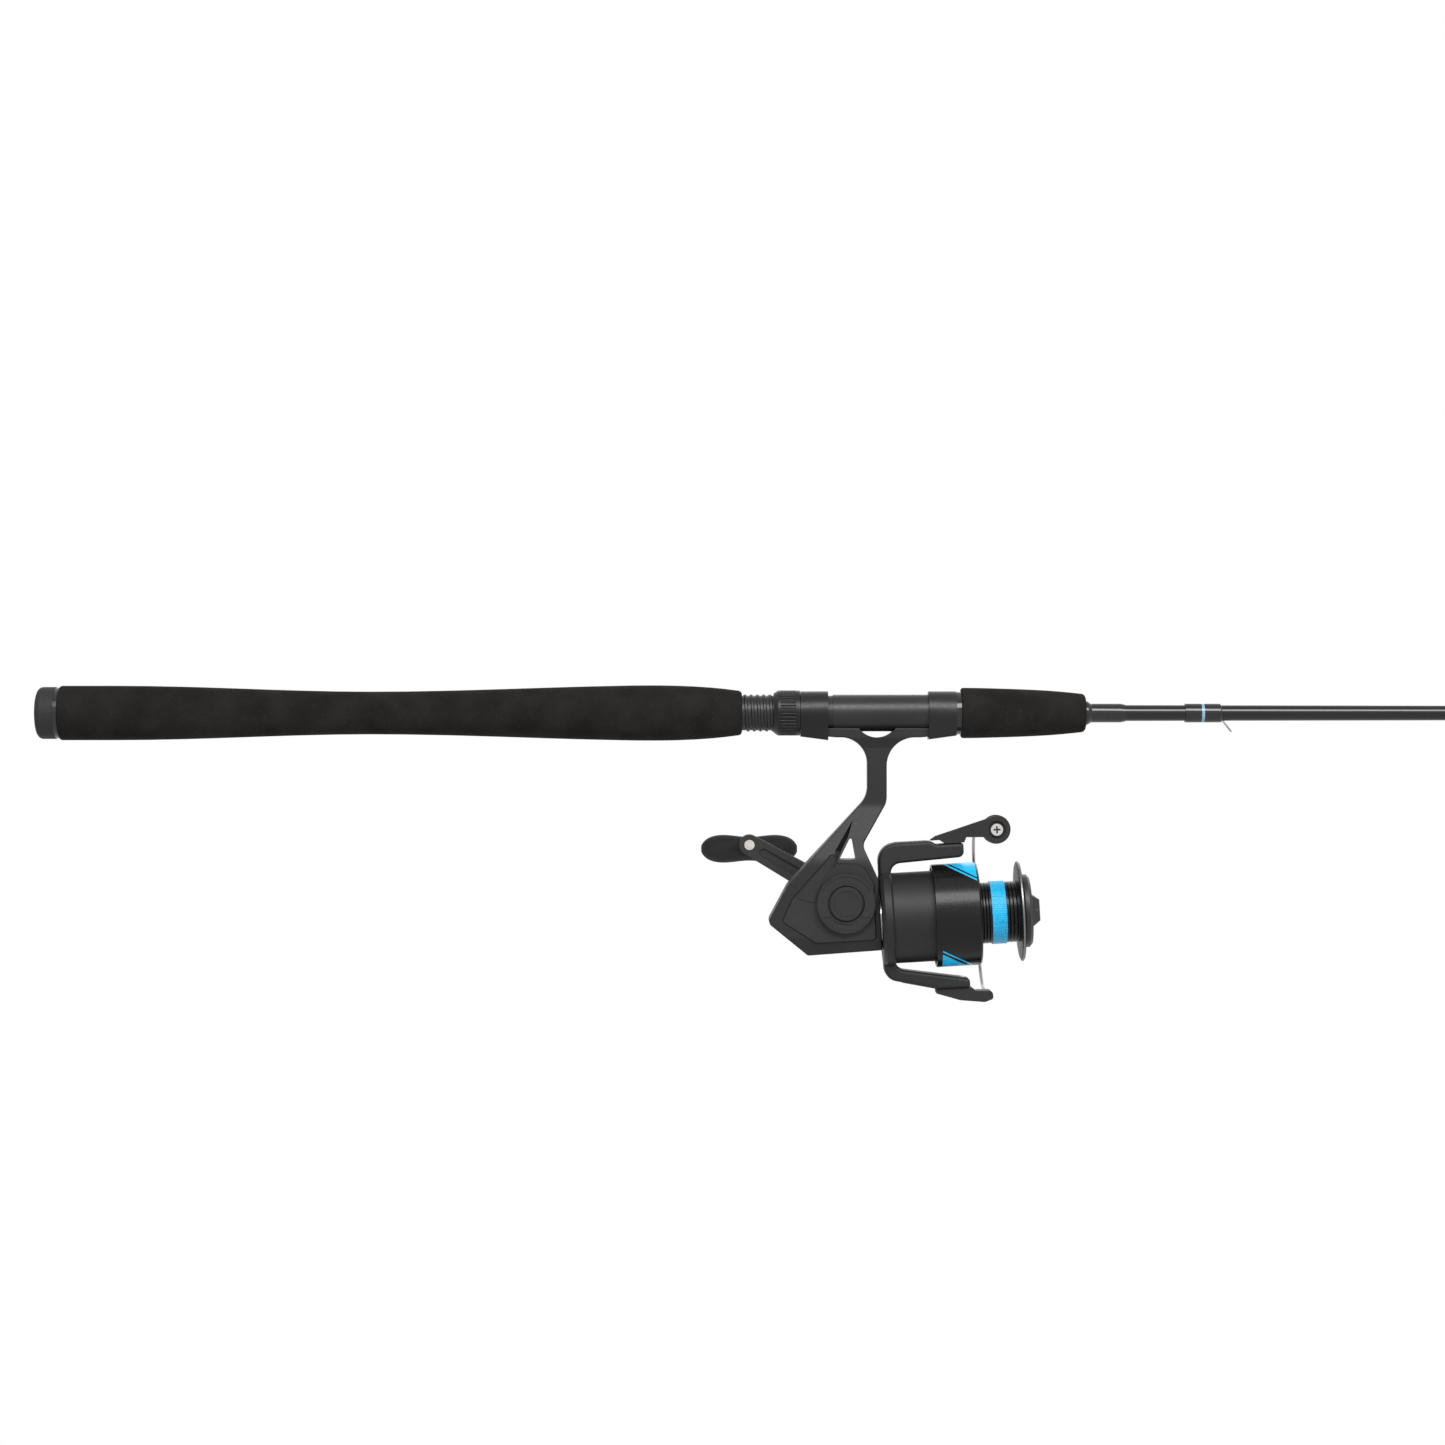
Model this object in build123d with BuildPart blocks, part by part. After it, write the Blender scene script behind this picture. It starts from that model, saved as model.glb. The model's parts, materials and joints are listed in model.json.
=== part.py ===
from build123d import *
import os
from math import acos, cos, pi, radians, sin, sqrt, tan

# A spinning fishing rod with its reel, in millimetres.
# The origin is the centre of the butt's end face. +X runs along the rod to its tip, +Z points
# away from the reel, which hangs below the rod, and +Y is the side of the crank handle.

# ---------------------------------------------------------------- clearances
glue_gap = 0.05           # round pieces of one body, glued or pressed
running_gap = 0.06        # a shaft in its bearing
side_gap = 0.3            # pieces of different bodies, face beside face
cover_seam = 0.25         # open seam round the side cover
screw_gap = 0.1           # a screw's shank in a clearance hole

# ---------------------------------------------------------------- the rod's sizes
rod_length = 2134.0
blank_butt_radius = 5.11
blank_taper = 0.00195     # radius lost for each millimetre along the butt section
blank_wall = 1.0
butt_section_length = 1100.0
ferrule_overlap = 64.0
ferrule_wall = 0.8
tip_radius = 0.95
tip_bore_radius = 0.4
cap_length = 9.2
cap_radius = 13.0
cap_wall = 2.4
cap_ring_length = 2.1
cap_ring_radius = 12.75
rear_grip_length = 340.7
butt_grip_radius = 13.6
butt_grip_length = 28.0
grip_waist_radius = 10.7
grip_swell_radius = 13.5
grip_front_radius = 10.9
thread_bare_length = 15.75
thread_root_radius = 8.7
thread_crest_radius = 9.3
thread_pitch = 3.1
barrel_radius = 9.2
seat_bore_radius = 7.2
nut_length = 13.15
nut_radius = 11.3
nut_flutes = 40
nut_flute_radius = 0.6
hood_length = 13.7
hood_radius = 10.9
hood_wall = 0.9
hood_corner_radius = 1.5
hood_rear_drop = 11.8
hood_front_drop = 13.6
foot_window = 50.2
fixed_hood_length = 13.8
trim_ring_length = 2.4
trim_ring_radius = 10.8
fore_grip_length = 62.3
fore_grip_radius = 12.6
fore_grip_front_radius = 9.4
winding_check_length = 3.0
winding_check_radius = 6.0
wrap_radius = 4.75
check_wrap_length = 16.9
keeper_gap = 29.8          # from the thread at the winding check to the keeper's thread
keeper_wrap_length = 18.2
keeper_wire_radius = 0.36
keeper_depth = 9.2
bushing_length = 12.0

# ---------------------------------------------------------------- the guides' sizes
stripper_setback = 145.0  # from the first guide to the front of the butt section
stripper_ring_radius = 12.5
stripper_height = 27.0
# the other guides: share of the way along the tip section, ring radius, height
tip_guides = [(0.2505, 8.0, 19.0), (0.4845, 6.0, 14.5), (0.6557, 5.0, 11.5),
              (0.7911, 4.0, 9.5), (0.9014, 4.0, 8.5)]
guide_thickness = 2.4
guide_leg_radius = 0.9
ring_section_radius = 1.15
foot_width = 2.6
foot_height = 1.1
guide_wrap = 0.5
tip_top_ring_radius = 4.2
tip_top_tube_length = 12.0

# ---------------------------------------------------------------- the reel's sizes
foot_length = 64.0
foot_half_width = 6.2
foot_top = 7.4            # below the rod's axis, where the foot's sides start
foot_depth = 12.2
foot_tip_rise = 1.0       # how much thinner the foot is at its tips
foot_taper_length = 11.0
stem_rear = 5.5           # behind the middle of the foot
stem_front = 4.2          # ahead of the middle of the foot
stem_half_width = 5.0
lens_radius = 11.4
lens_depth = 12.2
body_half_width = 13.0
body_wall = 3.0
body_edge_radius = 0.8
crank_setback = 16.4      # behind the middle of the foot
crank_z = -94.6
axis_tilt = 3.2           # degrees that the rotor's axis rises towards the tip
rotor_lead = 1.5          # ahead of the middle of the foot
rotor_z = -102.9
cover_thickness = 2.6
cover_proud = 0.6         # how far the cover stands out of the housing's face
cover_ledge = 1.2
cover_edge = 0.4
panel_rise = 0.5          # raised panel on the side cover
channel_depth = 1.2       # channel beside the strut, where it crosses the side cover
boss_radius = 14.8
boss_height = 3.4
port_radius = 8.5
handle_boss_radius = 9.0
handle_boss_height = 6.0

# ---------------------------------------------------------------- gears, shafts and bearings
gear_radius = 12.6
drive_teeth = 43
pinion_teeth = 7
pinion_radius = 4.6
sleeve_radius = 4.0       # hollow shaft of the drive gear
crank_shaft_radius = 2.5
bearing_radius = 8.0
bearing_width = 4.0
spur_module = 0.7
spur_pinion_teeth = 14
spur_gear_teeth = 26
spur_width = 3.0
spur_back_y = -8.0
stud_radius = 1.5
spur_angle = 205.8        # direction from the crank to the oscillation gear
shaft_radius = 2.0
shaft_rear = -33.0
shaft_front = 78.0
stroke = 6.5
hub_radius = 4.0          # shank of the pinion that carries the rotor
clutch_radius = 11.0
clutch_length = 8.2
roller_count = 8
clutch_roller_radius = 0.95

# ---------------------------------------------------------------- rotor, spool and bail
cup_radius = 22.6
cup_wall = 2.0
cup_front = 39.3
flange_radius = 24.5
flange_length = 5.9
web_rear = 9.0
web_thickness = 3.0
arm_half_width = 8.0
upper_arm_top = 37.6
arm_pad_top = 35.8        # flat that the bail's lever turns on
lower_arm_top = 36.0
lower_arm_heel = 29.8     # where the lower arm's underside starts
lower_arm_knee_u = 25.7
arm_end = 42.8
arm_cover_thickness = 2.4
arm_cover_proud = 0.2
bail_u = 39.0             # the bail's pivot, along the rotor's axis
roller_u = 59.8
roller_v = 41.5
roller_radius = 7.2
roller_half_width = 2.8
lever_disc_radius = 6.8
wire_radius = 0.8
wire_reach = 49.5
wire_half_height = 38.5
wire_plane_u = 51.4
skirt_radius = 25.7
skirt_wall = 1.6
skirt_rear = 26.2
spool_front_wall = 48.9
arbor_radius = 15.25
arbor_front = 68.5
band_rear = 54.7
band_front = 62.0
band_height = 0.45
lip_radius = 25.0
lip_thickness = 1.8
drag_cavity_radius = 11.5
drag_floor = 60.0
washer_count = 5
washer_thickness = 1.0
drag_knob_radius = 18.2
drag_knob_rear = 70.7
drag_disc_thickness = 4.0
drag_nose = 79.5
drag_grip_width = 9.0
drag_grip_height = 18.0

# ---------------------------------------------------------------- the handle's sizes
arm_angle = 150.4         # direction of the crank arm, seen from the cover's side
arm_length = 54.6
arm_near_y = 46.0
arm_thickness = 5.0
arm_edge = 0.8
arm_hub_radius = 7.0
arm_tip_radius = 5.3
knob_pin_radius = 2.0
knob_length = 50.0
knob_radius = 7.2
knob_end_radius = 1.6
knob_drop = 3.0
knob_axis_y = 74.0
knob_neck_radius = 5.2

# ---------------------------------------------------------------- places worked out from the sizes
cap_ring_x = cap_length
rear_grip_x = cap_ring_x + cap_ring_length
seat_x = rear_grip_x + rear_grip_length
nut_x = seat_x + thread_bare_length
hood_x = nut_x + nut_length + side_gap
hood_front_x = hood_x + hood_length
fixed_hood_x = hood_front_x + foot_window
trim_ring_x = fixed_hood_x + fixed_hood_length
fore_grip_x = trim_ring_x + trim_ring_length
check_x = fore_grip_x + fore_grip_length
check_wrap_x = check_x + winding_check_length
keeper_wrap_start = check_wrap_x + check_wrap_length + keeper_gap
ferrule_x = butt_section_length - ferrule_overlap
stripper_x = butt_section_length - stripper_setback
ferrule_front_x = butt_section_length + 12.0
foot_centre_x = hood_front_x + foot_window / 2
foot_rear_x = foot_centre_x - foot_length / 2
foot_front_x = foot_centre_x + foot_length / 2
thread_start_x = seat_x + 1.5
thread_end_x = foot_rear_x - side_gap - 1.0
crank_x = foot_centre_x - crank_setback
rotor_x = foot_centre_x + rotor_lead
stem_rear_x = foot_centre_x - stem_rear
stem_front_x = foot_centre_x + stem_front

tilt = radians(axis_tilt)
forward = Vector(cos(tilt), 0, sin(tilt))
upward = Vector(-sin(tilt), 0, cos(tilt))
rotor_origin = Vector(rotor_x, 0, rotor_z)
SPIN = Axis(rotor_origin, forward)
SPIN_SIDE = Plane(origin=rotor_origin, x_dir=forward, z_dir=(0, -1, 0))
knob_x = crank_x + arm_length * cos(radians(arm_angle))
knob_z = crank_z + arm_length * sin(radians(arm_angle))
handle_boss_y = body_half_width + handle_boss_height
spur_distance = spur_module * (spur_pinion_teeth + spur_gear_teeth) / 2
spur_x = crank_x + spur_distance * cos(radians(spur_angle))
spur_z = crank_z + spur_distance * sin(radians(spur_angle))


def side(y):
    """Plane across Y at y, seen from the cover's side: X to the right, Z up."""
    return Plane.XZ.offset(-y)


def across(x):
    """Plane across the rod at x: its own x is Y and its own y is Z."""
    return Plane.YZ.offset(x)


def reel(u, v, y=0.0):
    """Point at u along the rotor's axis, v above it and y towards the handle."""
    return rotor_origin + forward * u + upward * v + Vector(0, y, 0)


def reel_side(y):
    """Plane along the rotor's axis at y: u to the right, v up."""
    return SPIN_SIDE.offset(-y)


def reel_across(u):
    """Plane across the rotor's axis at u: its own x is Y and its own y is v."""
    return Plane(origin=reel(u, 0), x_dir=(0, 1, 0), z_dir=forward)


def reel_top(v, u):
    """Plane across the bail's pivot at height v, centred at u: its own x is u."""
    return Plane(origin=reel(u, v), x_dir=forward, z_dir=upward)


def blank_radius(x):
    return blank_butt_radius - blank_taper * x


def tip_blank_radius(x):
    ferrule_radius = blank_radius(ferrule_x) + ferrule_wall
    share = (x - ferrule_x) / (rod_length - ferrule_x)
    return ferrule_radius + (tip_radius - ferrule_radius) * share


def turned(outline, axis=Axis.X, plane=Plane.XZ):
    """Solid turned about an axis from its half outline."""
    with BuildPart() as piece:
        with BuildSketch(plane):
            with BuildLine():
                Polyline(*outline, close=True)
            make_face()
        revolve(axis=axis)
    return piece


def turned_reel(outline):
    return turned(outline, SPIN, SPIN_SIDE)


def tube(start, end, inner, outer):
    return [(start, inner), (start, outer), (end, outer), (end, inner)]


# ---------------------------------------------------------------- butt of the rod
with BuildPart() as butt_cap:
    with BuildSketch(Plane.XZ):
        with BuildLine():
            Polyline((0, 0), (0, cap_radius), (cap_length, cap_radius), (cap_length, blank_radius(0)),
                     (cap_wall, blank_radius(0)), (cap_wall, 0), close=True)
        make_face()
    revolve(axis=Axis.X)
    fillet(butt_cap.faces().sort_by(Axis.X)[0].edges(), 3.0)

butt_trim_ring = turned(tube(cap_ring_x, rear_grip_x, blank_radius(0) + glue_gap, cap_ring_radius))

waist = rear_grip_x + rear_grip_length * 0.43
swell = rear_grip_x + rear_grip_length * 0.8
straight_end = rear_grip_x + butt_grip_length
with BuildPart() as rear_grip:
    with BuildSketch(Plane.XZ):
        with BuildLine():
            Line((rear_grip_x, blank_radius(rear_grip_x) + glue_gap), (rear_grip_x, butt_grip_radius))
            Line((rear_grip_x, butt_grip_radius), (straight_end, butt_grip_radius))
            Spline((straight_end, butt_grip_radius), (waist, grip_waist_radius),
                   (swell, grip_swell_radius), (seat_x, grip_front_radius),
                   tangents=[(1, 0), (1, -0.16)])
            Line((seat_x, grip_front_radius), (seat_x, blank_radius(seat_x) + glue_gap))
            Line((seat_x, blank_radius(seat_x) + glue_gap),
                 (rear_grip_x, blank_radius(rear_grip_x) + glue_gap))
        make_face()
    revolve(axis=Axis.X)
    rear_grip_rims = rear_grip.edges().filter_by(GeomType.CIRCLE).group_by(Axis.X)
    fillet(rear_grip_rims[0].sort_by(SortBy.RADIUS)[-1], 1.0)
    fillet(rear_grip_rims[-1].sort_by(SortBy.RADIUS)[-1], 2.0)

# ---------------------------------------------------------------- reel seat


def foot_pocket(tip_x, mouth_x):
    """Sloping pocket for one end of the reel's foot, cut from the open part."""
    way = 1 if mouth_x > tip_x else -1
    far_x = mouth_x + 2 * way
    slope = foot_tip_rise / foot_taper_length
    tip_z = foot_tip_rise - foot_depth - side_gap
    with BuildSketch(side(0)) as pocket:
        with BuildLine():
            Polyline((tip_x, 0), (tip_x, tip_z), (far_x, tip_z - slope * abs(far_x - tip_x)), (far_x, 0),
                     close=True)
        make_face()
    extrude(pocket.sketch, amount=foot_half_width + side_gap, dir=(0, 1, 0), both=True,
            mode=Mode.SUBTRACT)


def hood_section(drop):
    """Round hood whose floor drops under the reel's foot."""
    Circle(hood_radius)
    corner_y = foot_half_width + side_gap + hood_wall - hood_corner_radius
    with Locations((corner_y, hood_corner_radius - drop), (-corner_y, hood_corner_radius - drop)):
        Circle(hood_corner_radius)
    make_hull()


with BuildPart() as reel_seat:
    with BuildSketch(across(seat_x)):
        Circle(thread_root_radius)
    extrude(amount=hood_front_x + 2.5 - seat_x)
    with BuildSketch(across(hood_front_x + 2.5)):
        Circle(barrel_radius)
    extrude(amount=fixed_hood_x - hood_front_x - 2.5)
    with BuildSketch(across(fixed_hood_x)):
        hood_section(foot_depth + 1.0)
    with BuildSketch(across(trim_ring_x)):
        hood_section(hood_radius + 0.4)
    loft()
    foot_pocket(foot_front_x + side_gap, fixed_hood_x)
    with BuildSketch(across(fixed_hood_x - 2)):
        Circle(barrel_radius)
    extrude(amount=trim_ring_x - fixed_hood_x)
    with BuildSketch(across(seat_x)):
        Circle(seat_bore_radius)
    extrude(amount=trim_ring_x - seat_x + 1, mode=Mode.SUBTRACT)

    with BuildLine() as thread_path:
        Helix(thread_pitch, thread_end_x - thread_start_x, thread_root_radius - 0.1,
              center=(thread_start_x, 0, 0), direction=(1, 0, 0))
    thread_start = thread_path.line @ 0
    thread_out = Vector(0, thread_start.Y, thread_start.Z)
    with BuildSketch(Plane(origin=thread_start, x_dir=thread_out, z_dir=thread_path.line % 0)):
        with BuildLine():
            Polyline((0, -1.0), (thread_crest_radius - thread_root_radius + 0.1, -0.45),
                     (thread_crest_radius - thread_root_radius + 0.1, 0.45), (0, 1.0), close=True)
        make_face()
    sweep(path=thread_path.line, is_frenet=True)

with BuildPart() as seat_bushings:
    for bushing_x in (seat_x + 2, (seat_x + trim_ring_x - bushing_length) / 2, trim_ring_x - bushing_length):
        with BuildSketch(across(bushing_x)):
            Circle(seat_bore_radius - glue_gap)
            Circle(blank_radius(bushing_x) + glue_gap, mode=Mode.SUBTRACT)
        extrude(amount=bushing_length)

with BuildPart() as lock_nut:
    with BuildSketch(Plane.XZ):
        with BuildLine():
            Polyline((nut_x, thread_crest_radius + running_gap), (nut_x, nut_radius - 1.5),
                     (nut_x + 2.2, nut_radius), (hood_x - side_gap, nut_radius),
                     (hood_x - side_gap, thread_crest_radius + running_gap), close=True)
        make_face()
    revolve(axis=Axis.X)
    with BuildSketch(across(nut_x + 3.4)):
        with PolarLocations(nut_radius + 0.1, nut_flutes):
            Circle(nut_flute_radius)
    extrude(amount=nut_length - 5.4, mode=Mode.SUBTRACT)

with BuildPart() as sliding_hood:
    with BuildSketch(across(hood_x)):
        hood_section(hood_rear_drop)
    with BuildSketch(across(hood_front_x)):
        hood_section(hood_front_drop)
    loft()
    foot_pocket(foot_rear_x - side_gap, hood_front_x)
    with BuildSketch(across(hood_x)):
        Circle(thread_crest_radius + running_gap)
    extrude(amount=hood_length + 1, mode=Mode.SUBTRACT)

trim_ring_bore = blank_radius(trim_ring_x) + glue_gap
hood_trim_ring = turned(tube(trim_ring_x, fore_grip_x, trim_ring_bore, trim_ring_radius))

with BuildPart() as fore_grip:
    fore_bore = blank_radius(fore_grip_x) + glue_gap
    with BuildSketch(Plane.XZ):
        with BuildLine():
            Line((fore_grip_x, fore_bore), (fore_grip_x, fore_grip_radius))
            Spline((fore_grip_x, fore_grip_radius), (fore_grip_x + 0.32 * fore_grip_length, 12.2),
                   (fore_grip_x + 0.8 * fore_grip_length, 10.7), (check_x, fore_grip_front_radius),
                   tangents=[(1, 0), (1, -0.12)])
            Line((check_x, fore_grip_front_radius), (check_x, fore_bore))
            Line((check_x, fore_bore), (fore_grip_x, fore_bore))
        make_face()
    revolve(axis=Axis.X)
    fore_grip_rims = fore_grip.edges().filter_by(GeomType.CIRCLE).group_by(Axis.X)
    fillet(fore_grip_rims[0].sort_by(SortBy.RADIUS)[-1], 1.2)
    fillet(fore_grip_rims[-1].sort_by(SortBy.RADIUS)[-1], 2.2)

check_bore = blank_radius(check_x) + glue_gap
winding_check = turned([(check_x, check_bore), (check_x, winding_check_radius),
                        (check_x + 1.0, winding_check_radius), (check_wrap_x, wrap_radius),
                        (check_wrap_x, check_bore)])

# ---------------------------------------------------------------- blank of the butt section
butt_end_radius = blank_radius(butt_section_length)
butt_blank = turned([(cap_wall, blank_radius(cap_wall) - blank_wall),
                     (cap_wall, blank_radius(cap_wall) - glue_gap),
                     (butt_section_length, butt_end_radius),
                     (butt_section_length, butt_end_radius - blank_wall)])


def wrap_outline(start, length, radius, run_out):
    """Thread wound on the blank, running out to a thin edge at its front."""
    end = start + length
    return [(start, blank_radius(start) + glue_gap), (start, radius), (end - run_out, radius),
            (end, blank_radius(end) + 0.25), (end, blank_radius(end) + glue_gap)]


keeper_front_x = keeper_wrap_start + keeper_wrap_length
keeper_seat = blank_radius(keeper_wrap_start) + glue_gap + keeper_wire_radius
keeper_half_width = 1.3
keeper_wire_z = -sqrt(keeper_seat**2 - keeper_half_width**2) - glue_gap
with BuildPart() as blank_wraps:
    with BuildSketch(Plane.XZ):
        with BuildLine():
            Polyline(*wrap_outline(check_wrap_x, check_wrap_length, wrap_radius, 2.4), close=True)
        make_face()
        with BuildLine():
            Polyline(*wrap_outline(keeper_wrap_start, keeper_wrap_length, wrap_radius, 0.6), close=True)
        make_face()
    revolve(axis=Axis.X)
    with BuildSketch(across(keeper_front_x - 5.0)):
        with Locations((keeper_half_width, keeper_wire_z), (-keeper_half_width, keeper_wire_z)):
            Circle(keeper_wire_radius + glue_gap)
    extrude(amount=6.0, mode=Mode.SUBTRACT)

with BuildPart() as hook_keeper:
    keeper_tip_x = keeper_front_x + 5.0
    with BuildLine() as keeper_path:
        FilletPolyline((keeper_front_x - 4.8, keeper_half_width, keeper_wire_z),
                       (keeper_front_x + 1.2, keeper_half_width, keeper_wire_z),
                       (keeper_tip_x, keeper_half_width, -keeper_depth),
                       (keeper_tip_x, -keeper_half_width, -keeper_depth),
                       (keeper_front_x + 1.2, -keeper_half_width, keeper_wire_z),
                       (keeper_front_x - 4.8, -keeper_half_width, keeper_wire_z), radius=1.0)
    with BuildSketch(Plane(origin=keeper_path.line @ 0, z_dir=(1, 0, 0))):
        Circle(keeper_wire_radius)
    sweep(path=keeper_path.line)


# ---------------------------------------------------------------- guides
def strut(start, end, radius):
    """Straight round leg from one point to another, added to the open part."""
    run = Vector(*end) - Vector(*start)
    with BuildSketch(Plane(origin=start, z_dir=run)) as leg:
        Circle(radius)
    extrude(leg.sketch, amount=run.length, dir=run.normalized())


def guide_frame(x, ring_radius, height, seat_radius, two_feet):
    """Ring holder under the blank, with legs that rise to flat feet."""
    foot_length_x = 12 + ring_radius * 0.8
    reach = height * 0.75
    foot_z = -(seat_radius + glue_gap + foot_height / 2)
    rear_x = x - reach
    with BuildPart() as frame:
        with BuildSketch(across(x - guide_thickness / 2)):
            with Locations((0, -height)):
                Circle(ring_radius)
                Circle(ring_radius - 1.2, mode=Mode.SUBTRACT)
        extrude(amount=guide_thickness)
        with BuildSketch(side(0)):
            with Locations((rear_x - foot_length_x / 2, foot_z)):
                Rectangle(foot_length_x, foot_height)
        extrude(amount=foot_width / 2, both=True)
        for way in (1, -1):
            strut((rear_x - 1.5, way * 0.5, foot_z),
                  (x, way * ring_radius * 0.72, -height + ring_radius * 0.66), guide_leg_radius)
        if two_feet:
            with BuildSketch(side(0)):
                with Locations((x + reach * 0.55 + foot_length_x / 2, foot_z)):
                    Rectangle(foot_length_x, foot_height)
            extrude(amount=foot_width / 2, both=True)
            strut((x + reach * 0.55 + 1.0, 0, foot_z),
                  (x, 0, -height + ring_radius - 0.5), guide_leg_radius)
        with BuildSketch(across(x - guide_thickness)):
            with Locations((0, -height)):
                Circle(ring_radius - 1.1)
        extrude(amount=2 * guide_thickness, mode=Mode.SUBTRACT)
    return frame


def add_ring(x, height, ring_radius):
    """Ceramic ring seated in its holder, added to the open part."""
    with BuildSketch(Plane.XZ) as section:
        with Locations((x, -height + ring_radius - 1.1 - ring_section_radius - glue_gap)):
            Circle(ring_section_radius)
    revolve(section.sketch, axis=Axis((0, 0, -height), (1, 0, 0)))


def add_wrap(start, length, seat_radius):
    """Thread over a guide's foot and the blank, added to the open part."""
    with BuildSketch(across(start)) as band:
        Circle(seat_radius + guide_wrap)
        with Locations((0, -(seat_radius + foot_height / 2))):
            Rectangle(foot_width + 2 * guide_wrap, foot_height + 2 * guide_wrap)
        make_hull()
        Circle(seat_radius + glue_gap, mode=Mode.SUBTRACT)
        with Locations((0, -(seat_radius + foot_height / 2))):
            Rectangle(foot_width + 2 * glue_gap, foot_height + 4 * glue_gap, mode=Mode.SUBTRACT)
    extrude(band.sketch, amount=length, dir=(1, 0, 0))


def wrap_span(x, ring_radius, height):
    """Start and length of the thread over a guide's rear foot."""
    length = 12 + ring_radius * 0.8
    return x - height * 0.75 - length - 3.0, length + 1.0


stripper_seat = blank_radius(stripper_x - 45)
guide_1_frame = guide_frame(stripper_x, stripper_ring_radius, stripper_height, stripper_seat, True)
with BuildPart() as guide_1_ring:
    add_ring(stripper_x, stripper_height, stripper_ring_radius)
with BuildPart() as guide_1_wraps:
    wrap_start, wrap_length = wrap_span(stripper_x, stripper_ring_radius, stripper_height)
    add_wrap(wrap_start, wrap_length, stripper_seat)
    add_wrap(stripper_x + stripper_height * 0.75 * 0.55 + 3.0, wrap_length, stripper_seat)

# ---------------------------------------------------------------- tip section
fit_radius = blank_radius(ferrule_x) + running_gap
tip_start_x = butt_section_length + 2.0
tip_start_radius = tip_blank_radius(tip_start_x)
with BuildPart() as tip_ferrule:
    with BuildSketch(Plane.XZ):
        with BuildLine():
            Polyline((ferrule_x, fit_radius), (ferrule_x, fit_radius + ferrule_wall),
                     (ferrule_front_x, tip_start_radius + 1.0),
                     (ferrule_front_x, tip_start_radius + glue_gap),
                     (tip_start_x, tip_start_radius + glue_gap),
                     (tip_start_x, butt_end_radius + running_gap - 0.02), close=True)
        make_face()
    revolve(axis=Axis.X)

tip_blank_end = rod_length - guide_thickness - 0.2
tip_blank = turned([(tip_start_x, butt_end_radius - blank_wall), (tip_start_x, tip_start_radius),
                    (tip_blank_end, tip_radius), (tip_blank_end, tip_bore_radius)])

tip_section_length = rod_length - butt_section_length
tip_places = [(butt_section_length + share * tip_section_length, ring_radius, height)
              for share, ring_radius, height in tip_guides]
tip_frames = []
for guide_x, ring_radius, height in tip_places:
    wrap_start, wrap_length = wrap_span(guide_x, ring_radius, height)
    seat_radius = tip_blank_radius(wrap_start)
    tip_frames.append(guide_frame(guide_x, ring_radius, height, seat_radius, False))
with BuildPart() as tip_guide_rings:
    for guide_x, ring_radius, height in tip_places:
        add_ring(guide_x, height, ring_radius)
with BuildPart() as tip_guide_wraps:
    for guide_x, ring_radius, height in tip_places:
        wrap_start, wrap_length = wrap_span(guide_x, ring_radius, height)
        add_wrap(wrap_start, wrap_length, tip_blank_radius(wrap_start))

tip_tube_x = rod_length - tip_top_tube_length
tip_ring_z = -(tip_radius + 1.2 + tip_top_ring_radius)
with BuildPart() as tip_top:
    with BuildSketch(Plane.XZ):
        with BuildLine():
            Polyline((tip_tube_x, tip_blank_radius(tip_tube_x) + glue_gap), (tip_tube_x, tip_radius + 0.7),
                     (rod_length, tip_radius + 0.7), (rod_length, 0), (rod_length - 1.5, 0),
                     (rod_length - 1.5, tip_blank_radius(tip_tube_x) + glue_gap), close=True)
        make_face()
    revolve(axis=Axis.X)
    with BuildSketch(across(rod_length - guide_thickness)):
        with Locations((0, tip_ring_z)):
            Circle(tip_top_ring_radius)
        with Locations((0, tip_ring_z / 2)):
            Rectangle(1.8, -tip_ring_z)
    extrude(amount=guide_thickness)
    for way in (1, -1):
        strut((tip_tube_x + 1.0, way * 0.7, -tip_radius - 0.3),
              (rod_length - guide_thickness / 2, way * (tip_top_ring_radius - 0.6), tip_ring_z), 0.55)
    with BuildSketch(across(rod_length - 2 * guide_thickness)):
        with Locations((0, tip_ring_z)):
            Circle(tip_top_ring_radius - 1.1)
    extrude(amount=3 * guide_thickness, mode=Mode.SUBTRACT)
    with BuildSketch(across(tip_tube_x)):
        Circle(tip_blank_radius(tip_tube_x) + glue_gap)
    extrude(amount=tip_blank_end - tip_tube_x + 0.1, mode=Mode.SUBTRACT)
with BuildPart() as tip_top_ring:
    with BuildSketch(across(rod_length - guide_thickness)):
        with Locations((0, tip_ring_z)):
            Circle(tip_top_ring_radius - 1.1 - glue_gap)
            Circle(tip_top_ring_radius - 2.1, mode=Mode.SUBTRACT)
    extrude(amount=guide_thickness)


# ---------------------------------------------------------------- reel body
def from_foot(points):
    """Side points given from the middle of the foot."""
    return [(foot_centre_x + x, z) for x, z in points]


def body_outline():
    """Side of the foot, the stem and the housing in one line, with its corner radii."""
    lower_front = reel(-0.6, -15)
    upper_front = reel(-0.6, 20)
    return [
        ((foot_rear_x, -foot_top), 0), ((foot_rear_x, foot_tip_rise - foot_depth), 0.6),
        ((foot_rear_x + foot_taper_length, -foot_depth), 6), ((stem_rear_x, -foot_depth), 13),
        ((stem_rear_x, -41.5), 12), ((foot_centre_x - 45.4, -85.5), 15),
        ((foot_centre_x - 55.4, -104.2), 3), ((foot_centre_x - 35.3, -120.7), 2),
        ((lower_front.X, lower_front.Z), 0.8), ((upper_front.X, upper_front.Z), 2),
        ((foot_centre_x - 8.1, -65.8), 5), ((stem_front_x, -44.5), 10), ((stem_front_x, -foot_depth), 14),
        ((foot_front_x - foot_taper_length, -foot_depth), 6),
        ((foot_front_x, foot_tip_rise - foot_depth), 0.6),
        ((foot_front_x, -foot_top), 0)]


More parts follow.
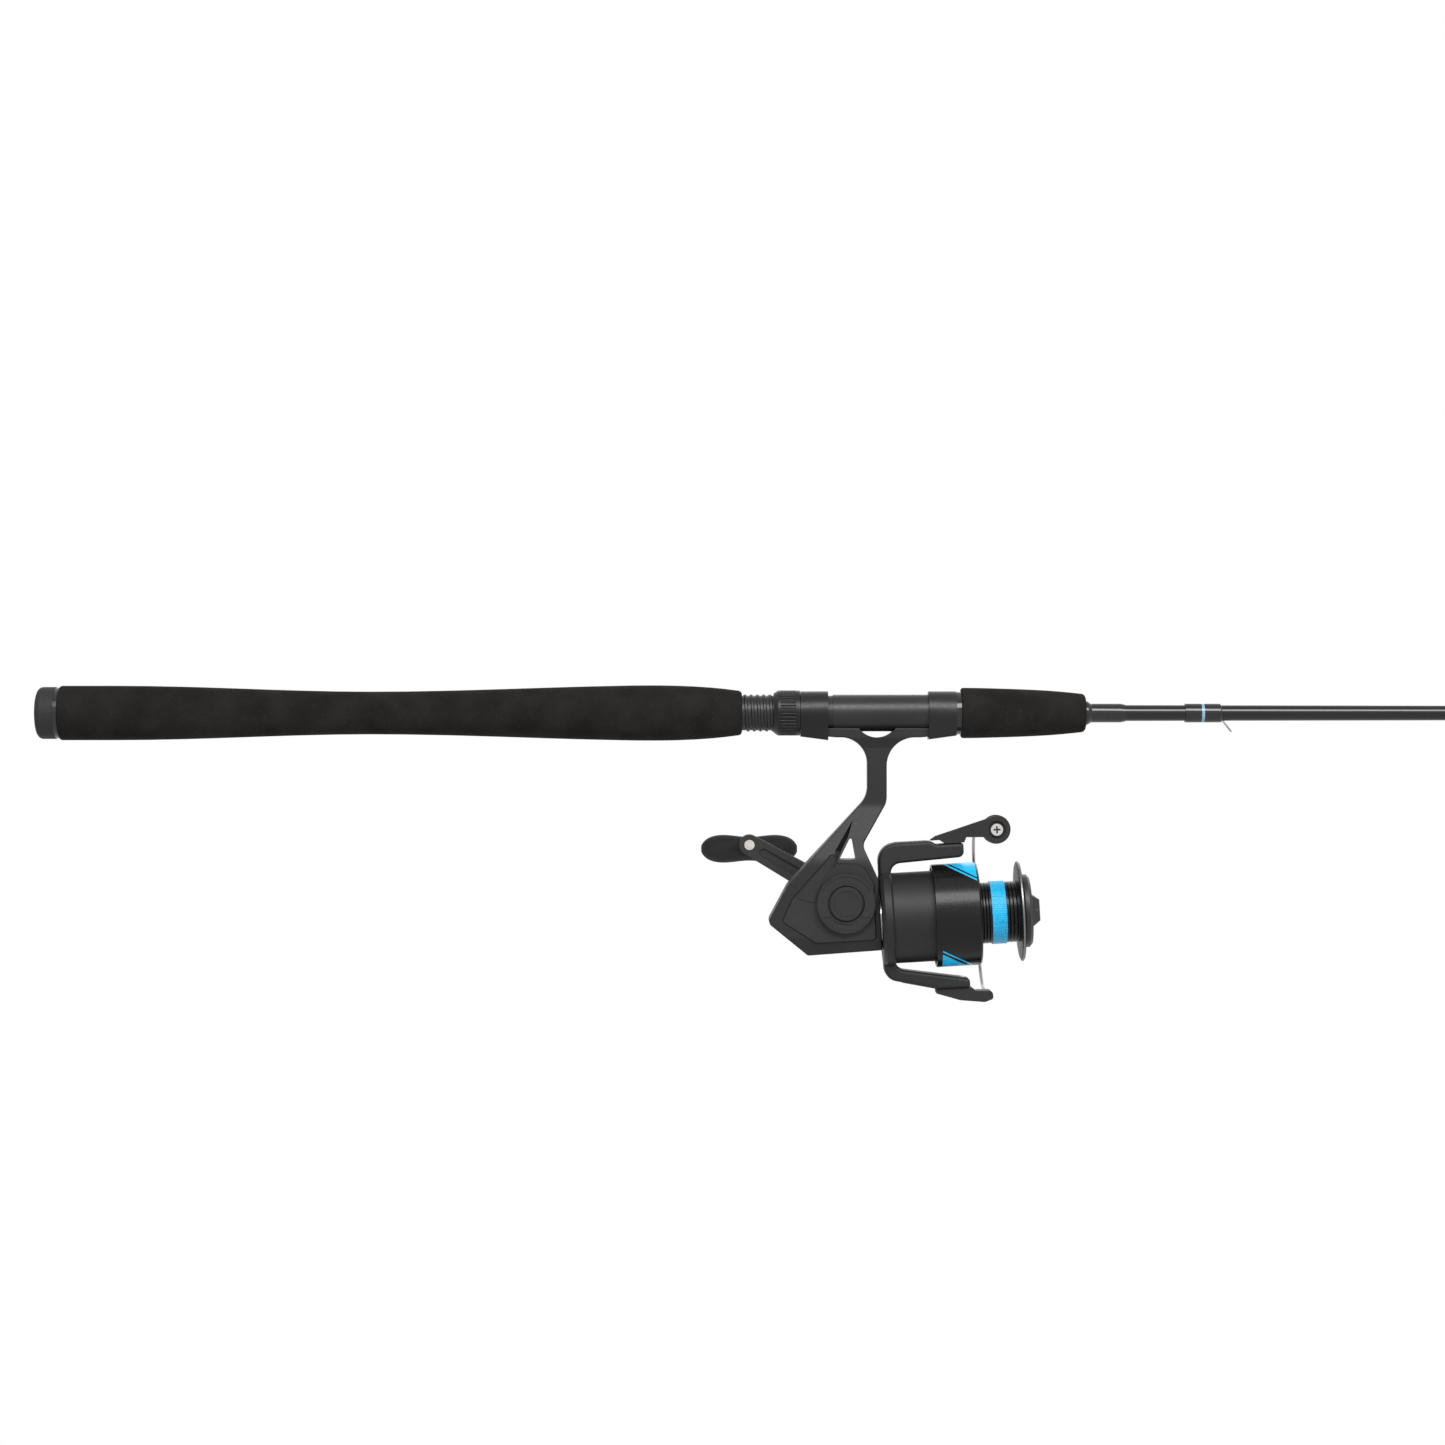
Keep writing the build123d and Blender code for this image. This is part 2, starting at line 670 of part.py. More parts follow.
cover_outline = from_foot([(-22.4, -68.8), (-43.4, -92.8), (-48.2, -103.6), (-41.6, -107.8), (-31.3, -114.2),
                           (-1.4, -112.6), (-2.6, -85.0), (-7.4, -77.0), (-11.0, -75.0), (-21.0, -75.0)])
cover_corners = [1.5, 3, 2, 2, 2, 2, 2, 3, 2, 1]
window_outline = from_foot([(-14.6, -62.6), (-13.0, -62.6), (-11.0, -73.1), (-19.9, -73.1)])
groove_outline = from_foot([(-12.8, -53.0), (-15.2, -61.4), (-19.2, -69.0), (-21.6, -68.2), (-16.6, -59.6)])
channel_outline = from_foot([(-18.4, -67.6), (-19.0, -69.2), (-22.4, -77.0), (-23.2, -76.6), (-21.6, -68.0)])
panel_outline = from_foot([(-23.9, -71.6), (-41.2, -91.8), (-32.4, -94.2), (-28.8, -83.8), (-24.6, -77.4)])
screw_places = from_foot([(-42.1, -99.8), (-24.0, -79.4), (-7.0, -81.4)])
post_radius = 2.4
screw_radius = 1.2
screw_head_radius = 2.2


def flat_shape(outline, corners):
    """Closed outline with rounded corners, made a face in the open sketch."""
    with BuildLine() as edge_line:
        FilletPolyline(*outline, radius=corners, close=True)
    make_face(edge_line.line)


def cover_face(margin):
    """The side cover's face, grown or shrunk by a margin."""
    with BuildSketch(Plane.XY) as face:
        flat_shape(cover_outline, cover_corners)
        offset(amount=margin, kind=Kind.INTERSECTION)
    return face.sketch


body_rear_x = foot_centre_x - 60.0
body_points = [point for point, corner in body_outline()]
body_corners = [corner for point, corner in body_outline()]
cavity_floor_y = body_half_width - body_wall
recess_y = body_half_width - cover_thickness + cover_proud
with BuildPart() as reel_body:
    with BuildSketch(side(0)):
        flat_shape(body_points, body_corners)
    extrude(amount=body_half_width, both=True)
    with BuildSketch(across(body_rear_x)):
        with BuildLine():
            FilletPolyline((foot_half_width, 0), (foot_half_width, -foot_depth - 0.2),
                           (stem_half_width, -foot_depth - 5), (stem_half_width, -46),
                           (body_half_width, -74), (body_half_width, -112), (9.5, -124),
                           (-9.5, -124), (-body_half_width, -112), (-body_half_width, -74),
                           (-stem_half_width, -46), (-stem_half_width, -foot_depth - 5),
                           (-foot_half_width, -foot_depth - 0.2), (-foot_half_width, 0),
                           radius=[1.2, 3, 12, 20, 5, 3, 3, 5, 20, 12, 3, 1.2])
            Line((-foot_half_width, 0), (foot_half_width, 0))
        make_face()
    extrude(amount=foot_front_x + 1 - body_rear_x, mode=Mode.INTERSECT)
    outline_faces = reel_body.faces().filter_by(lambda face: abs(face.normal_at().Y) < 0.001)
    fillet(outline_faces.edges().filter_by(Axis.Y, reverse=True), body_edge_radius)
    # the saddle that sits on the barrel, and the gap under its middle
    with BuildSketch(across(foot_rear_x - 1)):
        Circle(barrel_radius + glue_gap)
    extrude(amount=foot_length + 2, mode=Mode.SUBTRACT)
    with BuildSketch(side(0)):
        with Locations((foot_centre_x - 0.6, lens_radius - lens_depth)):
            Circle(lens_radius)
    extrude(amount=foot_half_width + 1, both=True, mode=Mode.SUBTRACT)
    # window in the top of the housing
    with BuildSketch(side(0)):
        flat_shape(window_outline, [0.5, 0.5, 0.5, 0.5])
    extrude(amount=body_half_width + 1, both=True, mode=Mode.SUBTRACT)
    # groove between the back rim and the strut beside the window
    with BuildSketch(side(body_half_width)):
        flat_shape(groove_outline, [0, 0, 0, 0, 0])
    extrude(amount=body_half_width - 3.5, mode=Mode.SUBTRACT)
    with BuildSketch(side(-body_half_width)):
        flat_shape(groove_outline, [0, 0, 0, 0, 0])
    extrude(amount=-(body_half_width - 3.5), mode=Mode.SUBTRACT)
    with BuildSketch(side(-body_half_width)):
        flat_shape(channel_outline, [0, 0, 0, 0, 0])
    extrude(amount=-(body_half_width - recess_y + channel_depth), mode=Mode.SUBTRACT)
    # hollow for the gears, its step for the cover, and the posts for the screws
    with BuildSketch(side(-body_half_width)):
        add(cover_face(cover_seam))
    extrude(amount=-(body_half_width - recess_y), mode=Mode.SUBTRACT)
    with BuildSketch(side(-recess_y)):
        add(cover_face(-cover_ledge))
        with Locations(*screw_places):
            Circle(post_radius, mode=Mode.SUBTRACT)
    extrude(amount=-(cavity_floor_y + recess_y), mode=Mode.SUBTRACT)
    # boss of the handle's bearing
    with BuildSketch(side(cavity_floor_y)):
        with Locations((crank_x, crank_z)):
            Circle(handle_boss_radius + 2)
    extrude(amount=-(handle_boss_y - cavity_floor_y), taper=12)
    with BuildSketch(side(handle_boss_y - 1.0)):
        with Locations((crank_x, crank_z)):
            Circle(bearing_radius + glue_gap)
    extrude(amount=bearing_width, mode=Mode.SUBTRACT)
    with BuildSketch(side(handle_boss_y + 1.0)):
        with Locations((crank_x, crank_z)):
            Circle(sleeve_radius + side_gap)
    extrude(amount=handle_boss_height + body_wall + 2, mode=Mode.SUBTRACT)
    # seat of the pinion's bearing, and its lip
    with BuildSketch(reel_across(-0.6)):
        Circle(bearing_radius + glue_gap)
    extrude(amount=-bearing_width, mode=Mode.SUBTRACT)
    with BuildSketch(reel_across(-0.6)):
        Circle(pinion_radius + side_gap + 0.1)
    extrude(amount=-10, mode=Mode.SUBTRACT)
    with BuildSketch(side(body_half_width + 1)):
        with Locations(*screw_places):
            Circle(screw_radius + screw_gap)
    extrude(amount=2 * body_half_width + 2, mode=Mode.SUBTRACT)

with BuildPart() as side_cover:
    with BuildSketch(side(-recess_y)):
        add(cover_face(0))
    extrude(amount=cover_thickness)
    chamfer(side_cover.faces().sort_by(Axis.Y)[0].edges(), cover_edge)
    with BuildSketch(side(-recess_y - cover_thickness)):
        flat_shape(panel_outline, [0.5, 1.5, 1, 2, 1])
    extrude(amount=panel_rise)
    with BuildSketch(side(-recess_y - cover_thickness - panel_rise)):
        flat_shape(channel_outline, [0, 0, 0, 0, 0])
    extrude(amount=-(panel_rise + channel_depth), mode=Mode.SUBTRACT)
    with BuildSketch(side(-recess_y - cover_thickness)):
        with Locations((crank_x, crank_z)):
            Circle(boss_radius)
    extrude(amount=boss_height)
    cover_boss_rim = side_cover.edges().filter_by(GeomType.CIRCLE).group_by(Axis.Y)[0]
    chamfer(cover_boss_rim, 0.5)
    cover_top_y = recess_y + cover_thickness + boss_height
    # label arcs, left bare, and the groove around the port cap
    with BuildSketch(side(-cover_top_y)):
        with Locations((crank_x, crank_z)):
            Circle(boss_radius - 1.2)
            Circle(port_radius + 1.6, mode=Mode.SUBTRACT)
            Rectangle(2 * boss_radius, 13, mode=Mode.SUBTRACT)
    extrude(amount=-0.5, mode=Mode.SUBTRACT)
    with BuildSketch(side(-cover_top_y)):
        with Locations((crank_x, crank_z)):
            Circle(port_radius + 0.6)
    extrude(amount=-1.8, mode=Mode.SUBTRACT)
    # seat of the cover's bearing
    with BuildSketch(side(-recess_y)):
        with Locations((crank_x, crank_z)):
            Circle(bearing_radius + 1.6)
    extrude(amount=-1.2)
    with BuildSketch(side(-recess_y + 1.2)):
        with Locations((crank_x, crank_z)):
            Circle(bearing_radius + glue_gap)
    extrude(amount=bearing_width, mode=Mode.SUBTRACT)
    with BuildSketch(side(-recess_y)):
        with Locations(*screw_places):
            Circle(screw_radius)
    extrude(amount=cover_thickness - 0.6, mode=Mode.SUBTRACT)
    # stud that the oscillation gear turns on
    with BuildSketch(side(-recess_y)):
        with Locations((spur_x, spur_z)):
            Circle(stud_radius)
    extrude(amount=-(recess_y + spur_back_y + spur_width - 0.4))
    with BuildSketch(side(-recess_y)):
        with Locations((spur_x, spur_z)):
            Circle(stud_radius + 1.5)
    extrude(amount=-(recess_y + spur_back_y - 0.8 - side_gap))

cover_bearing_y = -recess_y + 1.2
port_floor_y = -cover_top_y + 1.8
with BuildPart() as handle_port_cap:
    with BuildSketch(side(port_floor_y)):
        with Locations((crank_x, crank_z)):
            Circle(port_radius)
    extrude(amount=3.3)
    chamfer(handle_port_cap.faces().sort_by(Axis.Y)[0].edges(), 0.7)
    with BuildSketch(side(port_floor_y - 3.3)):
        with Locations((crank_x, crank_z)):
            Circle(port_radius - 2.0)
            Circle(port_radius - 2.5, mode=Mode.SUBTRACT)
    extrude(amount=-0.3, mode=Mode.SUBTRACT)

with BuildPart() as cover_screws:
    with BuildSketch(side(body_half_width + 1.2)):
        with Locations(*screw_places):
            Circle(screw_head_radius)
    extrude(amount=1.2)
    with BuildSketch(side(body_half_width)):
        with Locations(*screw_places):
            Circle(screw_radius - glue_gap)
    extrude(amount=body_half_width + recess_y + 1.5)
    with BuildSketch(side(body_half_width + 1.2)):
        with Locations(*screw_places):
            Rectangle(2.6, 0.6)
            Rectangle(0.6, 2.6)
    extrude(amount=0.7, mode=Mode.SUBTRACT)


def bearing(plane, inner):
    """Sealed ball bearing of the common width, added to the open part."""
    with BuildSketch(plane) as face:
        with Locations((crank_x, crank_z)):
            Circle(bearing_radius)
            Circle(inner, mode=Mode.SUBTRACT)
    extrude(face.sketch, amount=bearing_width - side_gap, dir=(0, -1, 0))


with BuildPart() as drive_bearings:
    bearing(side(handle_boss_y - 1.0 - side_gap / 2), sleeve_radius + running_gap)
    bearing(side(cover_bearing_y), sleeve_radius + running_gap)

pinion_bearing = turned_reel(tube(-0.5 - bearing_width, -0.6, hub_radius + running_gap, bearing_radius))

# ---------------------------------------------------------------- one-way clutch
clutch_front = clutch_length - 0.6
roller_ring_radius = hub_radius + 1.1 + 0.1 + clutch_roller_radius
with BuildPart() as one_way_clutch:
    with BuildSketch(reel_across(-0.6)):
        Circle(clutch_radius)
        Circle(roller_ring_radius + clutch_roller_radius + 0.1, mode=Mode.SUBTRACT)
    extrude(amount=clutch_length)
    with BuildSketch(reel_across(1.0)):
        with PolarLocations(roller_ring_radius, roller_count):
            Circle(clutch_roller_radius)
    extrude(amount=clutch_front - 2.0)
clutch_sleeve = turned_reel(tube(0.3, web_rear, hub_radius + glue_gap, hub_radius + 1.1))


# ---------------------------------------------------------------- gears
def involute(angle):
    return tan(angle) - angle


def gear_outline(teeth, module, backlash):
    """Points round a spur gear: involute flanks between a root and a tip circle."""
    pressure = radians(20)
    pitch_radius = teeth * module / 2
    base_radius = pitch_radius * cos(pressure)
    root = pitch_radius - 1.15 * module
    tip = pitch_radius + 0.85 * module
    points = []
    for tooth in range(teeth):
        middle = 2 * pi * tooth / teeth
        flank = []
        for step in range(5):
            radius = max(root, base_radius) + (tip - max(root, base_radius)) * step / 4
            half = (pi * module / 2 - backlash) / (2 * pitch_radius) + involute(pressure)
            half -= involute(acos(min(1.0, base_radius / radius)))
            flank.append((radius, half))
        if root < base_radius:
            flank.insert(0, (root, flank[0][1]))
        for radius, half in flank:
            points.append((radius * cos(middle - half), radius * sin(middle - half)))
        for radius, half in reversed(flank):
            points.append((radius * cos(middle + half), radius * sin(middle + half)))
    return points


tube_rear_y = cover_bearing_y - bearing_width + side_gap + 0.5
disc_y = pinion_radius + 0.6
with BuildPart() as drive_gear:
    with BuildSketch(side(handle_boss_y + 0.6)):
        with Locations((crank_x, crank_z)):
            Circle(sleeve_radius)
    extrude(amount=handle_boss_y + 0.6 - tube_rear_y)
    with BuildSketch(side(disc_y + 2.8)):
        with Locations((crank_x, crank_z)):
            Circle(gear_radius)
    extrude(amount=2.8)
    with BuildSketch(side(disc_y)):
        with Locations((crank_x, crank_z)):
            with PolarLocations(gear_radius - 1.6, drive_teeth):
                Rectangle(2.8, 0.9)
    extrude(amount=0.5)
    with BuildSketch(side(spur_back_y + spur_width)):
        with Locations(Location((crank_x, crank_z, 0), spur_angle)):
            with BuildLine() as spur_line:
                Polyline(*gear_outline(spur_pinion_teeth, spur_module, 0.18), close=True)
            add(make_face(spur_line.line, mode=Mode.PRIVATE))
    extrude(amount=spur_width)
    with BuildSketch(side(handle_boss_y + 2)):
        with Locations((crank_x, crank_z)):
            Circle(crank_shaft_radius + glue_gap)
    extrude(amount=handle_boss_y + 4 - tube_rear_y, mode=Mode.SUBTRACT)

spur_tip_gap = 0.18
gear_phase = spur_angle + 180 + 180 / spur_gear_teeth
crank_pin_radius = 1.2
with BuildPart() as oscillation_gear:
    with BuildSketch(side(spur_back_y + spur_width)):
        with Locations(Location((spur_x, spur_z, 0), gear_phase)):
            with BuildLine() as wheel_line:
                Polyline(*gear_outline(spur_gear_teeth, spur_module, spur_tip_gap), close=True)
            add(make_face(wheel_line.line, mode=Mode.PRIVATE))
    extrude(amount=spur_width)
    with BuildSketch(side(spur_back_y)):
        with Locations((spur_x, spur_z)):
            Circle(2.6)
    extrude(amount=0.8)
    with BuildSketch(side(0)):
        with Locations((spur_x, spur_z)):
            Circle(stud_radius + running_gap)
    extrude(amount=body_half_width, mode=Mode.SUBTRACT)
    with BuildSketch(side(spur_back_y + spur_width + 0.6)):
        with Locations((spur_x, spur_z + stroke)):
            Circle(crank_pin_radius)
    extrude(amount=0.6)

slider_u = -28.0
slider_length = 6.0
slider_width = 7.0
slider_height = 6.4
with BuildPart() as oscillation_slider:
    with BuildSketch(reel_across(slider_u - slider_length / 2)):
        Rectangle(slider_width, slider_height)
        Circle(shaft_radius + glue_gap, mode=Mode.SUBTRACT)
    extrude(amount=slider_length)
    with BuildSketch(reel_side(0)):
        with Locations((slider_u, 0)):
            Rectangle(2 * crank_pin_radius + 0.4, 20)
    extrude(amount=slider_width / 2 + 0.1, mode=Mode.SUBTRACT)

# ---------------------------------------------------------------- main shaft and pinion
main_shaft = turned_reel([(shaft_rear, 0), (shaft_rear, shaft_radius - 0.4), (shaft_rear + 0.4, shaft_radius),
                          (shaft_front - 0.4, shaft_radius), (shaft_front, shaft_radius - 0.4),
                          (shaft_front, 0)])

pinion_rear = -18.0
pinion_tooth_length = 10.0
shank_front = 17.0
with BuildPart() as pinion_gear:
    with BuildSketch(reel_across(pinion_rear)):
        Circle(pinion_radius - 1.0)
        with PolarLocations(pinion_radius - 1.05, pinion_teeth):
            Circle(1.05)
    extrude(amount=pinion_tooth_length)
    with BuildSketch(reel_across(pinion_rear + pinion_tooth_length)):
        Circle(hub_radius)
    extrude(amount=shank_front - pinion_rear - pinion_tooth_length)
    with BuildSketch(reel_across(pinion_rear - 1)):
        Circle(shaft_radius + running_gap)
    extrude(amount=shank_front - pinion_rear + 2, mode=Mode.SUBTRACT)

hub_front = web_rear + web_thickness + 2.0
with BuildPart() as rotor_nut:
    with BuildSketch(reel_across(hub_front)):
        RegularPolygon(6.2, 6)
        Circle(hub_radius + glue_gap, mode=Mode.SUBTRACT)
    extrude(amount=3.0)

# ---------------------------------------------------------------- rotor
cup_inner = cup_radius - cup_wall
upper_arm = [(0, 18), (0, upper_arm_top), (26.5, upper_arm_top), (29.5, arm_pad_top), (arm_end, arm_pad_top),
             (arm_end, 28.9), (flange_length, 27.3), (flange_length, 18)]
upper_arm_corners = [0, 9, 1, 1, 1, 3, 5, 0]
lower_arm = [(0, -18), (0, -lower_arm_heel), (lower_arm_knee_u, -lower_arm_top),
             (arm_end - 0.5, -lower_arm_top), (arm_end - 0.5, -31.7), (flange_length, -25.2),
             (flange_length, -18)]
lower_arm_corners = [0, 7, 2, 1, 2, 5, 0]
cover_rear_u = 8.6
cover_front_u = 25.0


def lower_arm_skin(u):
    """How far the lower arm's sloping underside lies from the rotor's axis at u."""
    return lower_arm_heel + (lower_arm_top - lower_arm_heel) * u / lower_arm_knee_u


cover_section = [(cover_rear_u, -arm_cover_thickness), (cover_rear_u, arm_cover_proud),
                 (cover_front_u, arm_cover_proud), (cover_front_u, -arm_cover_thickness)]
upper_cover = [(u, upper_arm_top + rise) for u, rise in cover_section]
lower_cover = [(u, -lower_arm_skin(u) - rise) for u, rise in cover_section]
screw_shank_radius = 1.5
spring_v = upper_arm_top - 4.0
with BuildPart() as rotor_arms:
    with BuildSketch(reel_side(0)):
        flat_shape(upper_arm, upper_arm_corners)
        flat_shape(lower_arm, lower_arm_corners)
    extrude(amount=arm_half_width, both=True)
    fillet(rotor_arms.faces().filter_by(Axis.Y).edges(), 1.6)

with BuildPart() as rotor:
    with BuildSketch(SPIN_SIDE):
        with BuildLine():
            Polyline((0, clutch_radius + 1.0), (0, flange_radius - 1.5), (1.5, flange_radius),
                     (flange_length - 1.0, flange_radius), (flange_length, cup_radius + 0.6),
                     (flange_length, cup_radius), (cup_front, cup_radius), (cup_front, cup_inner),
                     (web_rear + web_thickness, cup_inner), (web_rear + web_thickness, bearing_radius),
                     (hub_front, bearing_radius), (hub_front, hub_radius + glue_gap),
                     (web_rear, hub_radius + glue_gap), (web_rear, clutch_radius + 1.0), close=True)
        make_face()
    revolve(axis=SPIN)
    add(rotor_arms)
    with BuildSketch(reel_across(-1)):
        Circle(clutch_radius + 1.0)
    extrude(amount=web_rear + 1, mode=Mode.SUBTRACT)
    # places for the arm covers, the bail spring and the bail's pivot screws
    with BuildSketch(reel_side(0)):
        for outline in (upper_cover, lower_cover):
            with BuildLine() as pocket_line:
                Polyline(*outline, close=True)
            pocket = make_face(pocket_line.line, mode=Mode.PRIVATE)
            add(offset(pocket, amount=glue_gap, kind=Kind.INTERSECTION, mode=Mode.PRIVATE))
    extrude(amount=arm_half_width - 2.0, both=True, mode=Mode.SUBTRACT)
    with BuildSketch(reel_side(0)):
        with Locations((15, spring_v)):
            Rectangle(12, 3.6)
    extrude(amount=2.4, both=True, mode=Mode.SUBTRACT)
    with BuildSketch(reel_top(28, bail_u)):
        Circle(screw_shank_radius + glue_gap)
    extrude(amount=12, mode=Mode.SUBTRACT)
    with BuildSketch(reel_top(-40, bail_u)):
        Circle(screw_shank_radius + glue_gap)
    extrude(amount=12, mode=Mode.SUBTRACT)

with BuildPart() as arm_covers:
    with BuildSketch(reel_side(0)):
        for outline in (upper_cover, lower_cover):
            with BuildLine() as cover_line:
                Polyline(*outline, close=True)
            make_face(cover_line.line)
    extrude(amount=arm_half_width - 2.0 - glue_gap, both=True)

with BuildPart() as bail_spring:
    with BuildLine() as spring_path:
        Helix(1.4, 10.2, 1.25, center=reel(9.9, spring_v - 0.2), direction=forward)
    with BuildSketch(Plane(origin=spring_path.line @ 0, z_dir=spring_path.line % 0)):
        Circle(0.3)
    sweep(path=spring_path.line, is_frenet=True)

# ---------------------------------------------------------------- bail
lever_foot_top = 39.4
lever_underside = arm_pad_top + side_gap
lever_tail_v = upper_arm_top + side_gap
head_radius = 3.0
wire_foot_v = -41.2       # where the wire enters the lower arm of the bail
with BuildPart() as bail_lever:
    with BuildSketch(reel_side(-3.2)):
        with BuildLine():
            lever_disc = CenterArc((roller_u, roller_v), lever_disc_radius, -150, 252)
            Polyline(lever_disc @ 1, (37.4, 42.3), (29.0, 40.0), (26.5, lever_tail_v + 0.6),
                     (26.5, lever_tail_v), (31.0, lever_tail_v), (33.5, lever_underside),
                     (arm_end + 0.5, lever_underside), (arm_end + 1.5, 38.6), lever_disc @ 0)
        make_face()
    extrude(amount=4.0)
    with BuildSketch(reel_side(arm_half_width - 0.5)):
        with BuildLine():
            Polyline((31.0, lever_tail_v), (32.0, 40.2), (arm_end + 0.5, 41.4), (arm_end + 1.3, 38.0),
                     (arm_end + 0.5, lever_underside), (33.5, lever_underside), close=True)
        make_face()
    extrude(amount=2 * arm_half_width - 1.0)
    with BuildSketch(reel_side(-7.2)):
        with Locations((roller_u, roller_v)):
            Circle(4.4)
    extrude(amount=-1.2, mode=Mode.SUBTRACT)
    with BuildSketch(reel_side(-8)):
        with Locations((roller_u, roller_v)):
            Circle(shaft_radius + glue_gap)
    extrude(amount=-8, mode=Mode.SUBTRACT)
    with BuildSketch(reel_top(30, bail_u)):
        Circle(screw_shank_radius + running_gap)
    extrude(amount=20, mode=Mode.SUBTRACT)
    with BuildSketch(reel_top(lever_foot_top - side_gap, bail_u)):
        Circle(head_radius + side_gap)
    extrude(amount=12, mode=Mode.SUBTRACT)

with BuildPart() as bail_arm:
    with BuildSketch(reel_side(0)):
        flat_shape([(25.2, -lower_arm_top - side_gap), (arm_end + 0.2, -lower_arm_top - side_gap),
                    (45.0, -38.2), (53.3, -38.5), (53.6, -42.6), (49.2, -44.0), (37.0, -42.4),
                    (25.2, -38.4)], [0.3, 1, 1, 2, 1.6, 4, 6, 0.5])
    extrude(amount=6.0, both=True)
    with BuildSketch(reel_top(-50, bail_u)):
        Circle(screw_shank_radius + running_gap)
    extrude(amount=20, mode=Mode.SUBTRACT)
    with BuildSketch(reel_top(-lever_foot_top + side_gap, bail_u)):
        Circle(head_radius + side_gap)
    extrude(amount=-10, mode=Mode.SUBTRACT)
    with BuildSketch(reel_side(3.0)):
        with Locations((wire_plane_u - 1.6, wire_foot_v)):
            Circle(wire_radius + glue_gap)
    extrude(amount=-4, mode=Mode.SUBTRACT)

with BuildPart() as bail_pivot_screws:
    with BuildSketch(reel_top(29.5, bail_u)):
        Circle(screw_shank_radius)
    extrude(amount=lever_foot_top - 29.5)
    with BuildSketch(reel_top(lever_foot_top, bail_u)):
        Circle(head_radius)
        Rectangle(4.0, 0.9, mode=Mode.SUBTRACT)
        Rectangle(0.9, 4.0, mode=Mode.SUBTRACT)
    extrude(amount=1.4)
    with BuildSketch(reel_top(-lever_foot_top, bail_u)):
        Circle(screw_shank_radius)
    extrude(amount=lever_foot_top - 31.0)
    with BuildSketch(reel_top(-lever_foot_top - 1.4, bail_u)):
        Circle(head_radius)
        Rectangle(4.0, 0.9, mode=Mode.SUBTRACT)
        Rectangle(0.9, 4.0, mode=Mode.SUBTRACT)
    extrude(amount=1.4)

cone_near_y = roller_half_width + 0.4
cone_far_y = 9.0
cone_length = cone_far_y - cone_near_y
wire_points = [reel(roller_u, roller_v, cone_far_y - 1.5), reel(roller_u - 0.6, roller_v - 0.2, 14.0),
               reel(wire_plane_u, roller_v - 1.8, 27.0), reel(wire_plane_u, wire_half_height, wire_reach),
               reel(wire_plane_u, -wire_half_height, wire_reach), reel(wire_plane_u, -40.2, 26.0),
               reel(wire_plane_u - 1.6, wire_foot_v, 12.0), reel(wire_plane_u - 1.6, wire_foot_v, 3.5)]
with BuildPart() as bail_wire:
    with BuildLine() as wire_path:
        FilletPolyline(*wire_points, radius=[5, 10, 20, 20, 20, 10])
    with BuildSketch(Plane(origin=wire_path.line @ 0, z_dir=wire_path.line % 0)):
        Circle(wire_radius)
    sweep(path=wire_path.line)
    with BuildSketch(reel_side(cone_near_y)):
        with Locations((roller_u, roller_v)):
            Circle(lever_disc_radius)
    extrude(amount=-cone_length, taper=38)
    with BuildSketch(reel_side(cone_near_y)):
        with Locations((roller_u, roller_v)):
            Circle(shaft_radius + glue_gap)
    extrude(amount=-3.4, mode=Mode.SUBTRACT)

with BuildPart() as roller_screw:
    with BuildSketch(reel_side(-7.2 + 1.2)):
        with Locations((roller_u, roller_v)):
            Circle(3.0)
    extrude(amount=1.5)
    with BuildSketch(reel_side(-7.2 + 1.2)):
        with Locations((roller_u, roller_v)):
            Circle(shaft_radius)
    extrude(amount=-(6.0 + cone_near_y + 3.0))
    with BuildSketch(reel_side(-7.5)):
        with Locations((roller_u, roller_v)):
            Rectangle(3.6, 0.8)
            Rectangle(0.8, 3.6)
    extrude(amount=-0.9, mode=Mode.SUBTRACT)

with BuildPart() as line_roller:
    with BuildSketch(Plane(origin=reel(roller_u, roller_v), x_dir=(0, 1, 0), z_dir=forward)):
        with BuildLine():
            Polyline((-roller_half_width, shaft_radius + running_gap), (-roller_half_width, roller_radius),
                     (-roller_half_width + 0.7, roller_radius), (-0.9, roller_radius - 1.6),
                     (0.9, roller_radius - 1.6), (roller_half_width - 0.7, roller_radius),
                     (roller_half_width, roller_radius), (roller_half_width, shaft_radius + running_gap),
                     close=True)
        make_face()
    revolve(axis=Axis(reel(roller_u, roller_v), (0, 1, 0)))

# ---------------------------------------------------------------- spool and drag
shaft_bore = shaft_radius + running_gap
front_wall_rear = spool_front_wall - 2.5
ring_groove = 0.35


def arbor_grooves(start, end, count):
    """Fine rings turned into the arbor between two places."""
    points = []
    pitch = (end - start) / count
    for index in range(count):
        at = start + pitch * (index + 0.5)
        points += [(at - 0.35, arbor_radius), (at, arbor_radius - ring_groove), (at + 0.35, arbor_radius)]
    return points


spool = turned_reel(
    [(skirt_rear, skirt_radius - skirt_wall), (skirt_rear, skirt_radius - 0.3),
     (skirt_rear + 0.4, skirt_radius),
     (spool_front_wall - 0.8, skirt_radius), (spool_front_wall, skirt_radius - 0.8),
     (spool_front_wall, arbor_radius)]
    + arbor_grooves(spool_front_wall + 0.6, band_rear - 0.6, 3)
    + [(band_rear, arbor_radius), (band_rear, arbor_radius - 0.6), (band_front, arbor_radius - 0.6),
       (band_front, arbor_radius)]
    + arbor_grooves(band_front + 0.6, arbor_front - 0.4, 3)
    + [(arbor_front, arbor_radius), (arbor_front, drag_cavity_radius), (drag_floor, drag_cavity_radius),
       (drag_floor, shaft_bore), (front_wall_rear - 3.0, shaft_bore), (front_wall_rear - 3.0, 6.0),
       (front_wall_rear, 6.0), (front_wall_rear, skirt_radius - skirt_wall)])
